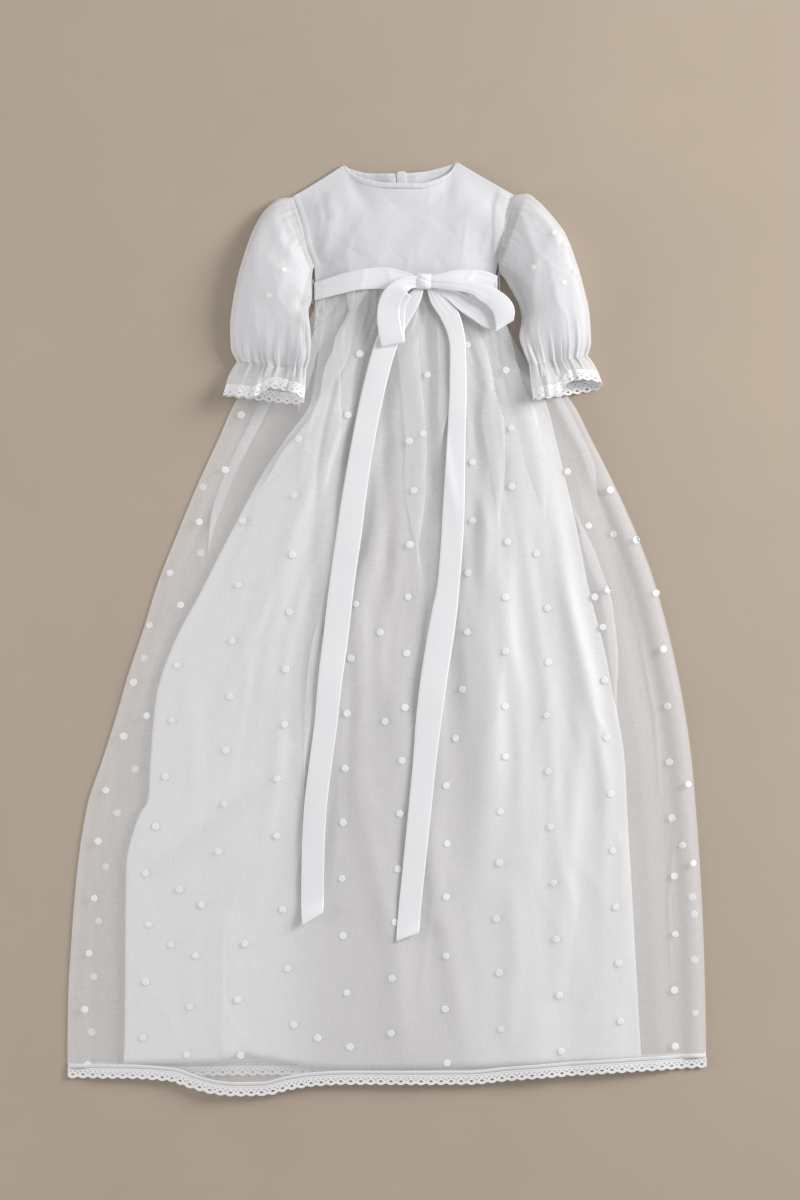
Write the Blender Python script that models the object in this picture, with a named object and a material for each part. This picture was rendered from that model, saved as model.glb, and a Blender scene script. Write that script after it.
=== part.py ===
"""A christening gown laid out on its back on a flat surface.

The bodice is batiste, the sleeves and overskirt are dotted organza over a plain lining, the cuffs and the
hem end in lace, and a satin sash is tied in a bow at the front. Each piece of cloth is a closed wall of its
own. Sizes are in millimetres: x runs across the gown, y from the hem up to the neck, and z up from the
surface that the gown lies on. The origin is below the middle of the gown.
"""

import math

import bpy
import numpy as np

MM = 0.001
CLOTH = 1.2  # thickness of a cloth wall
RIBBON = 1.0  # thickness of the satin ribbon
THREAD = 1.0  # thickness of the worked thread loops
SEAM = 0.3  # left between two pieces that are sewn together
LAYER = 1.2  # left between two layers that lie on each other
FRONT = CLOTH + SEAM  # height of a front panel's underside where it is sewn to the back
SHARP_ANGLE = 50.0  # degrees between two faces above which their edge is shaded sharp

WHITE_COTTON = (0.84, 0.84, 0.86)
WHITE_ORGANZA = (0.80, 0.80, 0.82)
WHITE_LACE = (0.88, 0.88, 0.89)
WHITE_SATIN = (0.90, 0.90, 0.92)
WHITE_BUTTON = (0.86, 0.86, 0.85)


def table(columns, *rows):
    """Rows of numbers as a dictionary of named columns."""
    return dict(zip(columns.split(), np.array(rows, float).T))


def curve(at, x, y):
    """The smooth line through the points (x, y), x rising or falling, that never overshoots them."""
    if x[0] > x[-1]:
        x, y = x[::-1], y[::-1]
    step = np.diff(x)
    slope = np.diff(y) / step
    before, after = slope[:-1], slope[1:]
    same = before * after > 0
    tangent = np.zeros(len(y))
    tangent[0], tangent[-1] = slope[0], slope[-1]
    tangent[1:-1][same] = 2 * before[same] * after[same] / (before + after)[same]
    at = np.clip(at, x[0], x[-1])
    k = np.clip(np.searchsorted(x, at) - 1, 0, len(step) - 1)
    f = (at - x[k]) / step[k]
    start = y[k] * (1 + 2 * f) + step[k] * tangent[k] * f
    end = y[k + 1] * (3 - 2 * f) - step[k] * tangent[k + 1] * (1 - f)
    return start * (1 - f) ** 2 + end * f**2


def ramp(value, start, end):
    """0 up to start and 1 from end on, with a soft S between them."""
    f = np.clip((value - start) / (end - start), 0, 1)
    return f * f * (3 - 2 * f)


def hump(value, middle, half_width):
    """1 at the middle, falling softly to 0 at half_width to either side."""
    f = np.clip(np.abs(value - middle) / half_width, 0, 1)
    return 0.5 + 0.5 * np.cos(math.pi * f)


def points(x, y, z):
    return np.stack(np.broadcast_arrays(x, y, z), axis=-1).astype(float)


# ---------------------------------------------------------------- closed bodies


def body(name, vertices, faces, colour, roughness):
    mesh = bpy.data.meshes.new(name)
    mesh.from_pydata((np.asarray(vertices) * MM).tolist(), [], faces)
    mesh.validate()
    material = bpy.data.materials.new(name)
    material.use_nodes = True
    shader = material.node_tree.nodes["Principled BSDF"]
    shader.inputs["Base Color"].default_value = (*colour, 1)
    shader.inputs["Roughness"].default_value = roughness
    shader.inputs["Metallic"].default_value = 0
    mesh.materials.append(material)
    mesh.shade_smooth()
    mesh.set_sharp_from_angle(angle=math.radians(SHARP_ANGLE))
    made = bpy.data.objects.new(name, mesh)
    bpy.context.collection.objects.link(made)
    return made


def sheet(name, top, under, colour, roughness=0.8):
    """A closed wall between two grids of rows x columns points, which run along +x and then down -y."""
    rows, columns = top.shape[:2]
    count = rows * columns
    at = np.arange(count).reshape(rows, columns)
    faces = []
    for j in range(rows - 1):
        for i in range(columns - 1):
            a, b, c, d = at[j, i], at[j + 1, i], at[j + 1, i + 1], at[j, i + 1]
            faces += [(a, b, c), (a, c, d)]
            faces += [(c + count, b + count, a + count), (d + count, c + count, a + count)]
    rim = [*at[0, :-1], *at[:-1, -1], *at[-1, :0:-1], *at[:0:-1, 0]]
    for p, q in zip(rim, rim[1:] + rim[:1]):
        faces += [(p, q, q + count), (p, q + count, p + count)]
    vertices = np.concatenate([top.reshape(-1, 3), under.reshape(-1, 3)])
    return body(name, vertices, [tuple(map(int, f)) for f in faces], colour, roughness)


def tube(name, outer, inner, colour, roughness=0.8):
    """A closed wall between two tubes of rings x around points, open at both ends."""
    rings, around = outer.shape[:2]
    count = rings * around
    at = np.arange(count).reshape(rings, around)
    faces = []
    for i in range(around):
        n = (i + 1) % around
        for j in range(rings - 1):
            a, b, c, d = at[j, i], at[j + 1, i], at[j + 1, n], at[j, n]
            faces += [(a, b, c), (a, c, d)]
            faces += [(c + count, b + count, a + count), (d + count, c + count, a + count)]
        faces += [(at[0, i], at[0, n], at[0, n] + count), (at[0, i], at[0, n] + count, at[0, i] + count)]
        p, q = at[-1, n], at[-1, i]
        faces += [(p, q, q + count), (p, q + count, p + count)]
    vertices = np.concatenate([outer.reshape(-1, 3), inner.reshape(-1, 3)])
    return body(name, vertices, [tuple(map(int, f)) for f in faces], colour, roughness)


def ribbon(name, middle, width, aim, colour, roughness=0.35, thick=RIBBON):
    """A strip of ribbon along the points of its middle line.

    aim is the direction, in degrees in the x-y plane, that its width points in at each of them.
    """
    angle = np.radians(aim)
    across = points(np.cos(angle), np.sin(angle), 0.0)
    along = np.gradient(middle, axis=0)
    out = np.cross(across, along)
    out /= np.linalg.norm(out, axis=1)[:, None]
    side = across * (np.asarray(width) / 2)[:, None]
    lift = out * thick / 2
    under, over = middle - lift, middle + lift
    corners = np.stack([under - side, under + side, over + side, over - side])
    vertices = corners.transpose(1, 0, 2).reshape(-1, 3)
    last = 4 * (len(middle) - 1)
    faces = [(0, 1, 2), (0, 2, 3), (last, last + 2, last + 1), (last, last + 3, last + 2)]
    for start in range(0, last, 4):
        for k in range(4):
            a, b = start + k, start + (k + 1) % 4
            faces += [(a, a + 4, b + 4), (a, b + 4, b)]
    return body(name, vertices, faces, colour, roughness)


# ---------------------------------------------------------------- the gown's outline

# The side edges of the overskirt and of its lining, down from the waist.
OVERSKIRT = table(
    "y left right",
    (345, -71.6, 108.9),
    (325, -71.6, 110.0),
    (313, -75.0, 115.0),
    (298, -85.0, 121.8),
    (268, -112.0, 138.3),
    (248, -132.0, 160.0),
    (228, -150.3, 183.2),
    (190, -167.8, 203.5),
    (140, -190.6, 228.6),
    (90, -211.2, 250.9),
    (45, -229.0, 267.5),
    (0, -243.0, 280.0),
    (-50, -259.8, 291.4),
    (-92, -271.8, 299.0),
    (-132, -284.5, 304.4),
    (-178, -299.7, 308.4),
    (-240, -309.4, 312.8),
    (-310, -315.3, 316.3),
    (-370, -318.7, 318.0),
    (-425, -319.4, 318.9),
    (-470, -318.6, 319.2),
)
LINING = table(
    "y left right",
    (345, -63.6, 100.9),
    (300, -66.0, 110.0),
    (265, -70.0, 129.0),
    (225, -76.0, 158.5),
    (190, -100.0, 168.0),
    (159, -121.0, 175.5),
    (93, -157.0, 190.5),
    (38, -185.0, 201.5),
    (-20, -215.0, 216.5),
    (-69, -230.6, 226.5),
    (-135, -236.4, 237.5),
    (-170, -238.0, 239.2),
    (-188, -248.0, 240.0),
    (-239, -260.5, 243.0),
    (-405, -262.1, 252.4),
    (-440, -263.1, 254.6),
)
# The waist seam, and how wide the sash is over it.
WAIST = table(
    "x y sash",
    (-71.6, 335.4, 18.0),
    (-45.0, 342.6, 20.0),
    (-23.6, 346.8, 20.6),
    (-3.5, 347.9, 21.5),
    (19.0, 345.5, 17.0),
    (29.0, 344.6, 13.0),
    (44.0, 344.6, 13.0),
    (55.0, 345.2, 16.0),
    (74.0, 345.7, 21.0),
    (90.0, 345.7, 21.0),
    (101.0, 344.4, 20.0),
    (109.0, 342.5, 17.0),
)
# The seam between the overskirt and its lace, front and back, and the width of the lace below it.
HEM = table(
    "x front back lace",
    (-319, -439.2, -438.5, 10.0),
    (-263, -439.2, -438.0, 10.0),
    (-214, -442.2, -437.6, 10.0),
    (-192, -449.2, -437.4, 10.0),
    (-170, -454.7, -437.2, 9.6),
    (-147, -456.5, -437.0, 9.4),
    (-125, -456.3, -436.9, 9.4),
    (-100, -450.7, -436.7, 9.8),
    (-74, -446.9, -436.5, 10.0),
    (-40, -445.2, -436.2, 10.0),
    (80, -445.2, -435.0, 11.0),
    (123, -441.0, -433.9, 11.0),
    (210, -434.5, -431.5, 10.5),
    (319, -428.6, -428.3, 10.2),
)
LINING_HEM = table(
    "x front back",
    (-263, -435.5, -435.5),
    (-164, -433.0, -434.5),
    (-150, -427.0, -434.0),
    (-100, -434.0, -433.5),
    (-49, -440.0, -433.0),
    (60, -439.0, -432.0),
    (170, -435.0, -431.0),
    (255, -431.3, -430.5),
)
WAIST_Y = 345.0
HEM_Y = -440.0
# How far down the skirt its panels' rows of points lie, as a share of its length.
FRONT_ROWS = np.array(
    (0, 0.0125, 0.03, 0.055, 0.09, 0.14, 0.20, 0.27, 0.35, 0.44, 0.54, 0.65, 0.77, 0.885, 1)
)
BACK_ROWS = np.array((0, 0.0125, 0.03, 0.055, 0.14, 0.27, 0.44, 0.65, 0.885, 1))
GATHERS = 15
SAMPLES = 4  # columns of the front panel to a gather
GATHER_HEIGHT = 3.0
GATHER_REACH = 110.0  # how far below the waist a gather keeps a third of its height
GATHER_ENDS = 0.05  # of the width, over which the gathers start at each side


def waist_y(x):
    return curve(x, WAIST["x"], WAIST["y"])


def across_skirt(x, y):
    """Where a place is across the overskirt: 0 on its left edge and 1 on its right edge."""
    left = curve(y, OVERSKIRT["y"], OVERSKIRT["left"])
    right = curve(y, OVERSKIRT["y"], OVERSKIRT["right"])
    return np.clip((x - left) / (right - left), 0, 1)


def skirt_grid(edges, across, hem, share_down):
    """The x and y of a skirt panel's points, in rows from the waist seam down to its own hem."""
    down = share_down[:, None]
    at = np.asarray(across)[None, :]
    top_x = edges["left"][0] + (edges["right"][0] - edges["left"][0]) * at
    hem_left = curve(HEM_Y, edges["y"], edges["left"])
    hem_right = curve(HEM_Y, edges["y"], edges["right"])
    hem_x = hem_left + (hem_right - hem_left) * at
    top = waist_y(top_x) - SEAM / 2
    y = top + (curve(hem_x, HEM["x"], HEM["front"]) - top) * down
    y[-1] = curve(hem_x, hem["x"], hem["y"])
    left = curve(y[:, :1], edges["y"], edges["left"])
    right = curve(y[:, -1:], edges["y"], edges["right"])
    return left + (right - left) * at, y


# ---------------------------------------------------------------- heights of the layers

# The skirt's large soft folds. across is 0 to 1 over the skirt's width, at the fold's upper and lower end.
FOLDS = table(
    "upper lower top bottom half_width height",
    (0.30, 0.17, 60, 420, 24, 3.0),
    (0.52, 0.42, 40, 330, 20, 2.6),
    (0.62, 0.66, 90, 560, 26, 3.4),
    (0.40, 0.22, 360, 640, 34, 5.0),
    (0.24, 0.25, 590, 900, 20, 2.8),
    (0.50, 0.53, 380, 800, 30, 3.0),
    (0.72, 0.74, 480, 900, 28, 3.6),
    (0.80, 0.86, 120, 520, 22, 2.6),
    (0.84, 0.84, 560, 900, 30, 2.8),
)
# How far the gown's front stands off its back, down from the waist.
PUFF = table("down height", (0, 5.4), (110, 8.0), (210, 7.6), (330, 4.6), (500, 2.0), (800, 0.8))
BUTTON = {"x": 15.4, "y": 451.0, "radius": 4.5, "height": 2.0}
# How near to the sash's middle and to the button's the back is lifted in full, and how far off not at all.
BUTTON_SIDES = 20
SASH_RISE = (13.0, 34.0)
BUTTON_RISE = (12.0, 32.0)
SIDE_RISE = (0.03, 0.30)  # the front rises from its sides over this share of the width
LINING_CLEAR = 0.022  # of the width: how far past the lining's edge the overskirt stays up
LINING_FALL = 26.0  # the width over which it then falls to the back, and the most of the skirt's width
LINING_FALL_SHARE = 0.06
FOLD_SPREAD = 1.6  # how much wider a fold's foot is than its half width
FOLD_START = (-60, 60)  # a fold rises over this stretch round its upper end
FOLD_END = (-80, 40)  # and runs out over this one round its lower end
WIDTH_AT_WAIST = 180.0
WIDENING = 0.57  # of the skirt's width, for each mm down


def back_lift(x, y):
    """How far the back lies off the surface, over the sash's back stretch and over the button."""
    from_sash = np.abs(y - waist_y(x))
    from_button = np.hypot(x - BUTTON["x"], y - BUTTON["y"])
    over_sash = (RIBBON + SEAM) * (1 - ramp(from_sash, *SASH_RISE))
    over_button = (BUTTON["height"] + SEAM) * (1 - ramp(from_button, *BUTTON_RISE))
    return np.maximum(over_sash, over_button)


def skirt_puff(across, down):
    side = ramp(np.minimum(across, 1 - across), *SIDE_RISE)
    return side * curve(down, PUFF["down"], PUFF["height"])


def skirt_folds(x, across, down):
    """The highest of the large folds at a place, which narrow towards their ends."""
    height = np.zeros(np.broadcast(x, across, down).shape)
    for upper, lower, top, bottom, half_width, tall in zip(*FOLDS.values()):
        along = np.clip((down - top) / (bottom - top), 0, 1)
        off = (across - (upper + (lower - upper) * along)) * (WIDTH_AT_WAIST + WIDENING * down)
        start = ramp(down, top + FOLD_START[0], top + FOLD_START[1])
        end = ramp(down, bottom + FOLD_END[0], bottom + FOLD_END[1])
        height = np.maximum(height, tall * start * (1 - end) * hump(off, 0, half_width * FOLD_SPREAD))
    return height


def lining_under(x, y):
    """The underside of the lining's front."""
    across, down = across_skirt(x, y), WAIST_Y - y
    over_back = 2 * (CLOTH + SEAM)
    return back_lift(x, y) + over_back + skirt_puff(across, down) + skirt_folds(x, across, down)


def overskirt_under(x, y):
    """The underside of the overskirt's front, without its gathers: over the lining, and down to its sides."""
    across, down = across_skirt(x, y), WAIST_Y - y
    wide = curve(y, OVERSKIRT["y"], OVERSKIRT["right"] - OVERSKIRT["left"])
    lining_left = across_skirt(curve(y, LINING["y"], LINING["left"]), y)
    lining_right = across_skirt(curve(y, LINING["y"], LINING["right"]), y)
    fall = np.minimum(LINING_FALL / wide, LINING_FALL_SHARE)
    rise = 1.0
    for place, edge in ((across, lining_left), (1 - across, 1 - lining_right)):
        rise = rise * ramp(place, np.maximum(edge - LINING_CLEAR - fall, 0), edge - LINING_CLEAR)
    body_height = lining_under(x, y) + CLOTH + LAYER
    side_height = back_lift(x, y) + FRONT
    return side_height + rise * (body_height - side_height)


def gather_height(across, down):
    ends = ramp(np.minimum(across, 1 - across), 0.0, GATHER_ENDS)
    return GATHER_HEIGHT * np.exp(-np.maximum(down, 0) / GATHER_REACH) * ends


def crest_at(x, y):
    across = across_skirt(x, y)
    return overskirt_under(x, y) + gather_height(across, WAIST_Y - y) + CLOTH


def skirt_crest(x, y):
    """The top of the overskirt's front along the crests of its gathers: what lies on the skirt rests here.

    Between two rows of the panel's points it is no lower than the straight line that joins them.
    """
    rows_y = WAIST_Y - FRONT_ROWS * (WAIST_Y - HEM_Y)
    k = np.clip(np.searchsorted(-rows_y, -np.asarray(y, float)) - 1, 0, len(rows_y) - 2)
    across = across_skirt(x, y)
    ends = []
    for row_y in (rows_y[k], rows_y[k + 1]):
        left = curve(row_y, OVERSKIRT["y"], OVERSKIRT["left"])
        right = curve(row_y, OVERSKIRT["y"], OVERSKIRT["right"])
        ends.append(crest_at(left + (right - left) * across, row_y))
    share = np.clip((rows_y[k] - y) / (rows_y[k] - rows_y[k + 1]), 0, 1)
    return np.maximum(crest_at(x, y), ends[0] + (ends[1] - ends[0]) * share)


# ---------------------------------------------------------------- skirt


def gather_columns():
    """Where the columns of the front panel stand: four to a gather, the gathers unevenly wide."""
    at = np.linspace(0, 1, GATHERS * SAMPLES + 1)
    long_drift = 0.010 * np.sin(2 * math.pi * 3 * at)
    short_drift = 0.006 * np.sin(2 * math.pi * 7 * at + 1.0) * 4 * at * (1 - at)
    return at + long_drift + short_drift


def skirt_panel(name, edges, across, hem, rows, under, colour, gathered=False):
    x, y = skirt_grid(edges, across, hem, rows)
    z = under(x, y)
    if gathered:
        wave = 0.5 - 0.5 * np.cos(2 * math.pi * np.arange(len(across)) / SAMPLES)
        z = z + wave * gather_height(across_skirt(x, y), WAIST_Y - y)
    return sheet(name, points(x, y, z + CLOTH), points(x, y, z), colour)


def hem_lace(name, seam, under, columns):
    """The lace below a seam, along the hem, gently waved like the edge it is sewn to."""
    x = np.linspace(HEM["x"][0], HEM["x"][-1], columns)
    y = curve(x, HEM["x"], HEM[seam])
    width = curve(x, HEM["x"], HEM["lace"])
    rows = np.array([0.0, 1.0])[:, None]
    down = y - SEAM - rows * (width - SEAM)
    z = under(x[None, :], np.broadcast_to(y, down.shape)) + 0 * down
    return sheet(name, points(x[None, :], down, z + CLOTH), points(x[None, :], down, z), WHITE_LACE)


def lining_back_under(x, y):
    return back_lift(x, y) + CLOTH + SEAM


def hem_of(panel, side):
    """The line that a panel's lower edge follows."""
    return {"x": panel["x"], "y": panel[side]}


def skirt():
    skirt_panel(
        "skirt_back", OVERSKIRT, np.linspace(0, 1, 21), hem_of(HEM, "back"), BACK_ROWS,
        back_lift, WHITE_ORGANZA,
    )
    skirt_panel(
        "skirt_lining_back", LINING, np.linspace(0, 1, 9), hem_of(LINING_HEM, "back"), BACK_ROWS,
        lining_back_under, WHITE_COTTON,
    )
    skirt_panel(
        "skirt_lining_front", LINING, np.linspace(0, 1, 35), hem_of(LINING_HEM, "front"), FRONT_ROWS,
        lining_under, WHITE_COTTON,
    )
    skirt_panel(
        "skirt_front", OVERSKIRT, gather_columns(), hem_of(HEM, "front"), FRONT_ROWS,
        overskirt_under, WHITE_ORGANZA, gathered=True,
    )
    hem_lace("hem_lace_back", "back", back_lift, 25)
    hem_lace("hem_lace_front", "front", overskirt_under, 45)


# ---------------------------------------------------------------- bodice

# The upper outline from the left armhole over the shoulders and round the neck, front and back.
SHOULDERS = table(
    "x y",
    (-95.6, 430.3),
    (-72.0, 444.3),
    (-43.0, 462.8),
)
FRONT_NECK = table(
    "x y",
    (-43.0, 462.8),
    (-36.0, 455.4),
    (-22.0, 448.0),
    (0.0, 443.9),
    (32.0, 443.4),
    (46.0, 446.6),
    (62.0, 455.0),
    (69.4, 465.6),
)
BACK_NECK = table(
    "x y",
    (-43.0, 462.8),
    (-37.5, 459.0),
    (-16.0, 454.3),
    (8.5, 454.1),
    (32.0, 455.4),
    (54.5, 460.2),
    (69.4, 465.6),
)
RIGHT_SHOULDER = table(
    "x y",
    (69.4, 465.6),
    (93.5, 451.3),
    (126.9, 432.3),
)
LEFT_SIDE = table(
    "y x",
    (430.3, -95.6),
    (414.8, -90.1),
    (397.8, -84.7),
    (383.8, -82.1),
    (364.3, -75.1),
    (358.8, -72.8),
    (335.4, -71.6),
)
RIGHT_SIDE = table(
    "y x",
    (432.3, 126.9),
    (410.0, 121.5),
    (385.0, 115.5),
    (363.0, 110.5),
    (352.0, 108.4),
    (342.5, 108.9),
)
NECK_BINDING = 5.0  # width of the binding
BINDING_FOLDED = 1.6  # thickness of the front's binding, folded over the edge
NECK_FROM, NECK_TO = 0.25, 0.75  # where the neck begins and ends along the upper outline
SLIT = {"x": 9.2, "half_width": 0.4}
SLIT_PART = 0.48
SLIT_REACH = 0.16  # of the outline: how far from the slit the back's points are drawn to it
STAND = 6.8  # how far the front stands off the back, over the chest and at the neck
ARMHOLE_SHARE = 0.76  # of each side of the bodice, above the side seam
ARMHOLE_STAND = 0.8  # of the full stand, at the middle of an armhole
# The chest's soft creases, across and down the front as shares of it.
CHEST_CREASES = table(
    "height across slant half_width down reach",
    (1.2, 0.52, -0.25, 0.10, 0.45, 0.40),
    (1.0, 0.24, 0.10, 0.07, 0.55, 0.45),
)
FRONT_PARTS = np.sort(np.append(np.linspace(0, 1, 21), (0.275, 0.725)))
BACK_PARTS = (
    np.append(np.linspace(0, 0.45, 10), SLIT_PART),
    np.append(SLIT_PART, np.linspace(0.5, 1, 11)),
)


def upper_edge(part, neck, inset=0.0, gap=0.0):
    """The upper outline at the places `part`, the neck's stretch set in by the binding's width and a gap."""
    shoulder_x = curve(
        np.clip(part / NECK_FROM, 0, 1), np.linspace(0, 1, len(SHOULDERS["x"])), SHOULDERS["x"]
    )
    shoulder_y = curve(shoulder_x, SHOULDERS["x"], SHOULDERS["y"])
    far = np.clip((part - NECK_TO) / (1 - NECK_TO), 0, 1)
    far_x = curve(far, np.linspace(0, 1, len(RIGHT_SHOULDER["x"])), RIGHT_SHOULDER["x"])
    far_y = curve(far_x, RIGHT_SHOULDER["x"], RIGHT_SHOULDER["y"])
    turn = np.clip((part - NECK_FROM) / (NECK_TO - NECK_FROM), 0, 1)
    neck_x = neck["x"][0] + (neck["x"][-1] - neck["x"][0]) * (turn - 0.09 * np.sin(2 * math.pi * turn) / 2)
    deep = inset * ramp(np.minimum(turn, 1 - turn), -0.02, 0.06)
    neck_y = curve(neck_x, neck["x"], neck["y"]) - gap - deep
    x = np.where(part < NECK_FROM, shoulder_x, np.where(part > NECK_TO, far_x, neck_x))
    y = np.where(part < NECK_FROM, shoulder_y, np.where(part > NECK_TO, far_y, neck_y))
    return x, y


def bodice_grid(part, neck, rows):
    """The x and y of a bodice panel's points, blended between its four edges."""
    down = np.linspace(0, 1, rows)[:, None]
    top_x, top_y = upper_edge(part, neck, NECK_BINDING, SEAM)
    low_x = WAIST["x"][0] + (WAIST["x"][-1] - WAIST["x"][0]) * part
    low_y = waist_y(low_x) + SEAM / 2
    left_y = LEFT_SIDE["y"][0] + (LEFT_SIDE["y"][-1] - LEFT_SIDE["y"][0]) * down
    left_x = curve(left_y, LEFT_SIDE["y"], LEFT_SIDE["x"])
    right_y = RIGHT_SIDE["y"][0] + (RIGHT_SIDE["y"][-1] - RIGHT_SIDE["y"][0]) * down
    right_x = curve(right_y, RIGHT_SIDE["y"], RIGHT_SIDE["x"])

    def blend(top, low, left, right):
        corners = (1 - down) * ((1 - part) * left[0] + part * right[0])
        corners = corners + down * ((1 - part) * left[-1] + part * right[-1])
        return (1 - down) * top + down * low + (1 - part) * left + part * right - corners

    x = blend(top_x, low_x, left_x, right_x)
    y = blend(top_y, low_y, left_y, right_y)
    return x, y, down


def beside_slit(x, part, side):
    """Draws a back panel's edge to the slit, on its left (-1) or its right (1)."""
    at_slit = 0 if side > 0 else -1
    off = SLIT["x"] + side * SLIT["half_width"] - x[..., at_slit]
    return x + off[..., None] * (1 - ramp(np.abs(part - SLIT_PART), 0.0, SLIT_REACH))


def bodice_under(part, down):
    """How high the underside of the bodice's front stands over that of its back."""
    armhole = ARMHOLE_STAND * hump(down, ARMHOLE_SHARE / 2, ARMHOLE_SHARE / 2)
    sides = armhole + (1 - armhole) * ramp(np.minimum(part, 1 - part), 0.0, 0.22)
    shoulder = ramp(down, 0.0, 0.34)
    neck = ramp(np.minimum(part - NECK_FROM, NECK_TO - part), 0.0, 0.16)
    creases = 0.0
    for height, across, slant, half_width, middle, reach in zip(*CHEST_CREASES.values()):
        line = hump(part - slant * down, across, half_width)
        creases = creases + height * line * hump(down, middle, reach)
    return FRONT + STAND * np.maximum(shoulder * sides, neck) + creases * sides


def bodice():
    x, y, down = bodice_grid(FRONT_PARTS, FRONT_NECK, 12)
    z = back_lift(x, y) + bodice_under(FRONT_PARTS, down)
    sheet("bodice_front", points(x, y, z + CLOTH), points(x, y, z), WHITE_COTTON)
    for name, part, side in (("left", BACK_PARTS[0], -1), ("right", BACK_PARTS[1], 1)):
        x, y, down = bodice_grid(part, BACK_NECK, 11)
        moved = beside_slit(x, part, side)
        y = y + (waist_y(moved) - waist_y(x)) * down
        x = moved
        z = back_lift(x, y)
        sheet(f"bodice_back_{name}", points(x, y, z + CLOTH), points(x, y, z), WHITE_COTTON)


def binding(name, part, neck, under, thickness, slit_side=0):
    """A strip of bias binding along a stretch of the neckline."""
    x, top = upper_edge(part, neck)
    _, low = upper_edge(part, neck, NECK_BINDING)
    if slit_side:
        x = beside_slit(x, part, slit_side)
    x = np.stack([x, x])
    y = np.stack([top, low])
    z = back_lift(x, y) + under
    return sheet(name, points(x, y, z + thickness), points(x, y, z), WHITE_COTTON)


def neck_parts(part):
    """Those of a panel's places that lie on the neckline."""
    return part[(part >= NECK_FROM) & (part <= NECK_TO)]


def button():
    """A flat round button below the back's neck opening."""
    around = np.arange(BUTTON_SIDES)
    angle = 2 * math.pi * around / BUTTON_SIDES
    x = BUTTON["x"] + BUTTON["radius"] * np.cos(angle)
    y = BUTTON["y"] + BUTTON["radius"] * np.sin(angle)
    vertices = np.concatenate([points(x, y, 0.0), points(x, y, BUTTON["height"])])
    faces = [tuple(map(int, around[::-1])), tuple(map(int, around + BUTTON_SIDES))]
    for i in range(BUTTON_SIDES):
        n = (i + 1) % BUTTON_SIDES
        faces.append((i, n, n + BUTTON_SIDES, i + BUTTON_SIDES))
    body("back_button", vertices, faces, WHITE_BUTTON, 0.3)


def neckline():
    front = neck_parts(FRONT_PARTS)
    under = bodice_under(front, np.zeros(len(front)))
    binding("neck_binding_front", front, FRONT_NECK, under, BINDING_FOLDED)
    binding("neck_binding_back_left", neck_parts(BACK_PARTS[0]), BACK_NECK, 0.0, CLOTH, -1)
    binding("neck_binding_back_right", neck_parts(BACK_PARTS[1]), BACK_NECK, 0.0, CLOTH, 1)


# ---------------------------------------------------------------- sleeves

# A sleeve's rings from the armhole to the elastic: its outer edge, its inner edge, how high it stands,
# how deep its gathers are, and how far the lining's inner edge is set in.
SLEEVE_LEFT = table(
    "outer_x outer_y inner_x inner_y height gather lining",
    (-97.0, 430.0, -74.6, 359.6, 9.5, 0.7, 2.0),
    (-106.0, 428.5, -76.4, 352.0, 14.0, 0.8, 2.5),
    (-120.5, 418.5, -77.4, 345.0, 18.5, 0.4, 4.0),
    (-132.5, 399.0, -77.6, 337.0, 22.0, 0.0, 6.0),
    (-142.0, 374.0, -78.0, 326.0, 26.0, 0.0, 7.0),
    (-149.0, 350.0, -80.0, 315.5, 27.0, 0.0, 7.0),
    (-153.8, 326.0, -77.0, 301.0, 26.0, 0.0, 6.0),
    (-156.6, 302.0, -75.2, 285.0, 23.0, 0.5, 5.0),
    (-156.0, 280.0, -76.3, 270.0, 19.0, 0.9, 4.0),
    (-150.0, 266.0, -80.0, 257.0, 15.0, 1.2, 3.0),
)
SLEEVE_RIGHT = table(
    "outer_x outer_y inner_x inner_y height gather lining",
    (128.2, 432.0, 112.0, 364.0, 9.5, 0.7, 2.0),
    (139.0, 433.6, 111.6, 356.0, 14.0, 0.8, 4.0),
    (153.0, 424.0, 117.5, 348.0, 18.5, 0.4, 8.0),
    (166.5, 409.0, 122.0, 340.0, 22.0, 0.0, 12.0),
    (178.5, 392.0, 127.0, 331.0, 26.0, 0.0, 14.0),
    (187.5, 368.0, 132.0, 320.0, 27.0, 0.0, 13.0),
    (196.0, 340.0, 134.0, 307.0, 26.0, 0.0, 10.0),
    (202.0, 313.0, 131.8, 291.0, 23.0, 0.5, 7.0),
    (203.6, 286.0, 136.0, 275.0, 19.0, 0.9, 4.0),
    (200.4, 271.8, 141.4, 262.0, 15.0, 1.2, 3.0),
)
# A cuff's rings from the elastic to the lace: how far its top and its underside reach down from the elastic
# line, how far each edge moves out, how high it stands and how deep its ruffle is.
CUFF = table(
    "top_reach under_reach outward height ruffle",
    (0.4, 0.4, 0.0, 15.0, 1.2),
    (5.0, 7.0, 3.2, 17.0, 1.5),
    (12.0, 16.0, 6.5, 19.0, 1.7),
)
CUFF_LACE = table(
    "top_reach under_reach outward height ruffle",
    (12.4, 16.4, 6.6, 19.2, 1.7),
    (18.0, 27.0, 9.5, 21.0, 1.9),
)
CUFF_ENDS = {
    "left": {"outer": (-150.0, 265.6), "inner": (-80.0, 256.6)},
    "right": {"outer": (200.4, 271.4), "inner": (141.4, 261.6)},
}
SLEEVE_STEPS = (20, 6)  # of a ring, over its arch and along its underside
LINING_STEPS = (12, 8)
LINING_CLEARANCE = CLOTH + 1.4 * LAYER  # between the outside of a sleeve and of its lining
LINING_OUTER_INSET = 1.6  # how many clearances the lining is set in at its outer edge
LINING_RISE = 0.8  # how much further the lining stands off the sleeve's underside than off its top
SIDE_SHARE = 0.32  # how far up its height a sleeve is widest
ARCH_FULLNESS = 0.85  # power of the arch: under 1 is fuller than an ellipse
GATHER_TROUGH = -0.2  # of a gather's depth, between two gathers
CUFF_INNER_SHARE = 0.2  # of the outward move, at a cuff's inner edge
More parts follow.
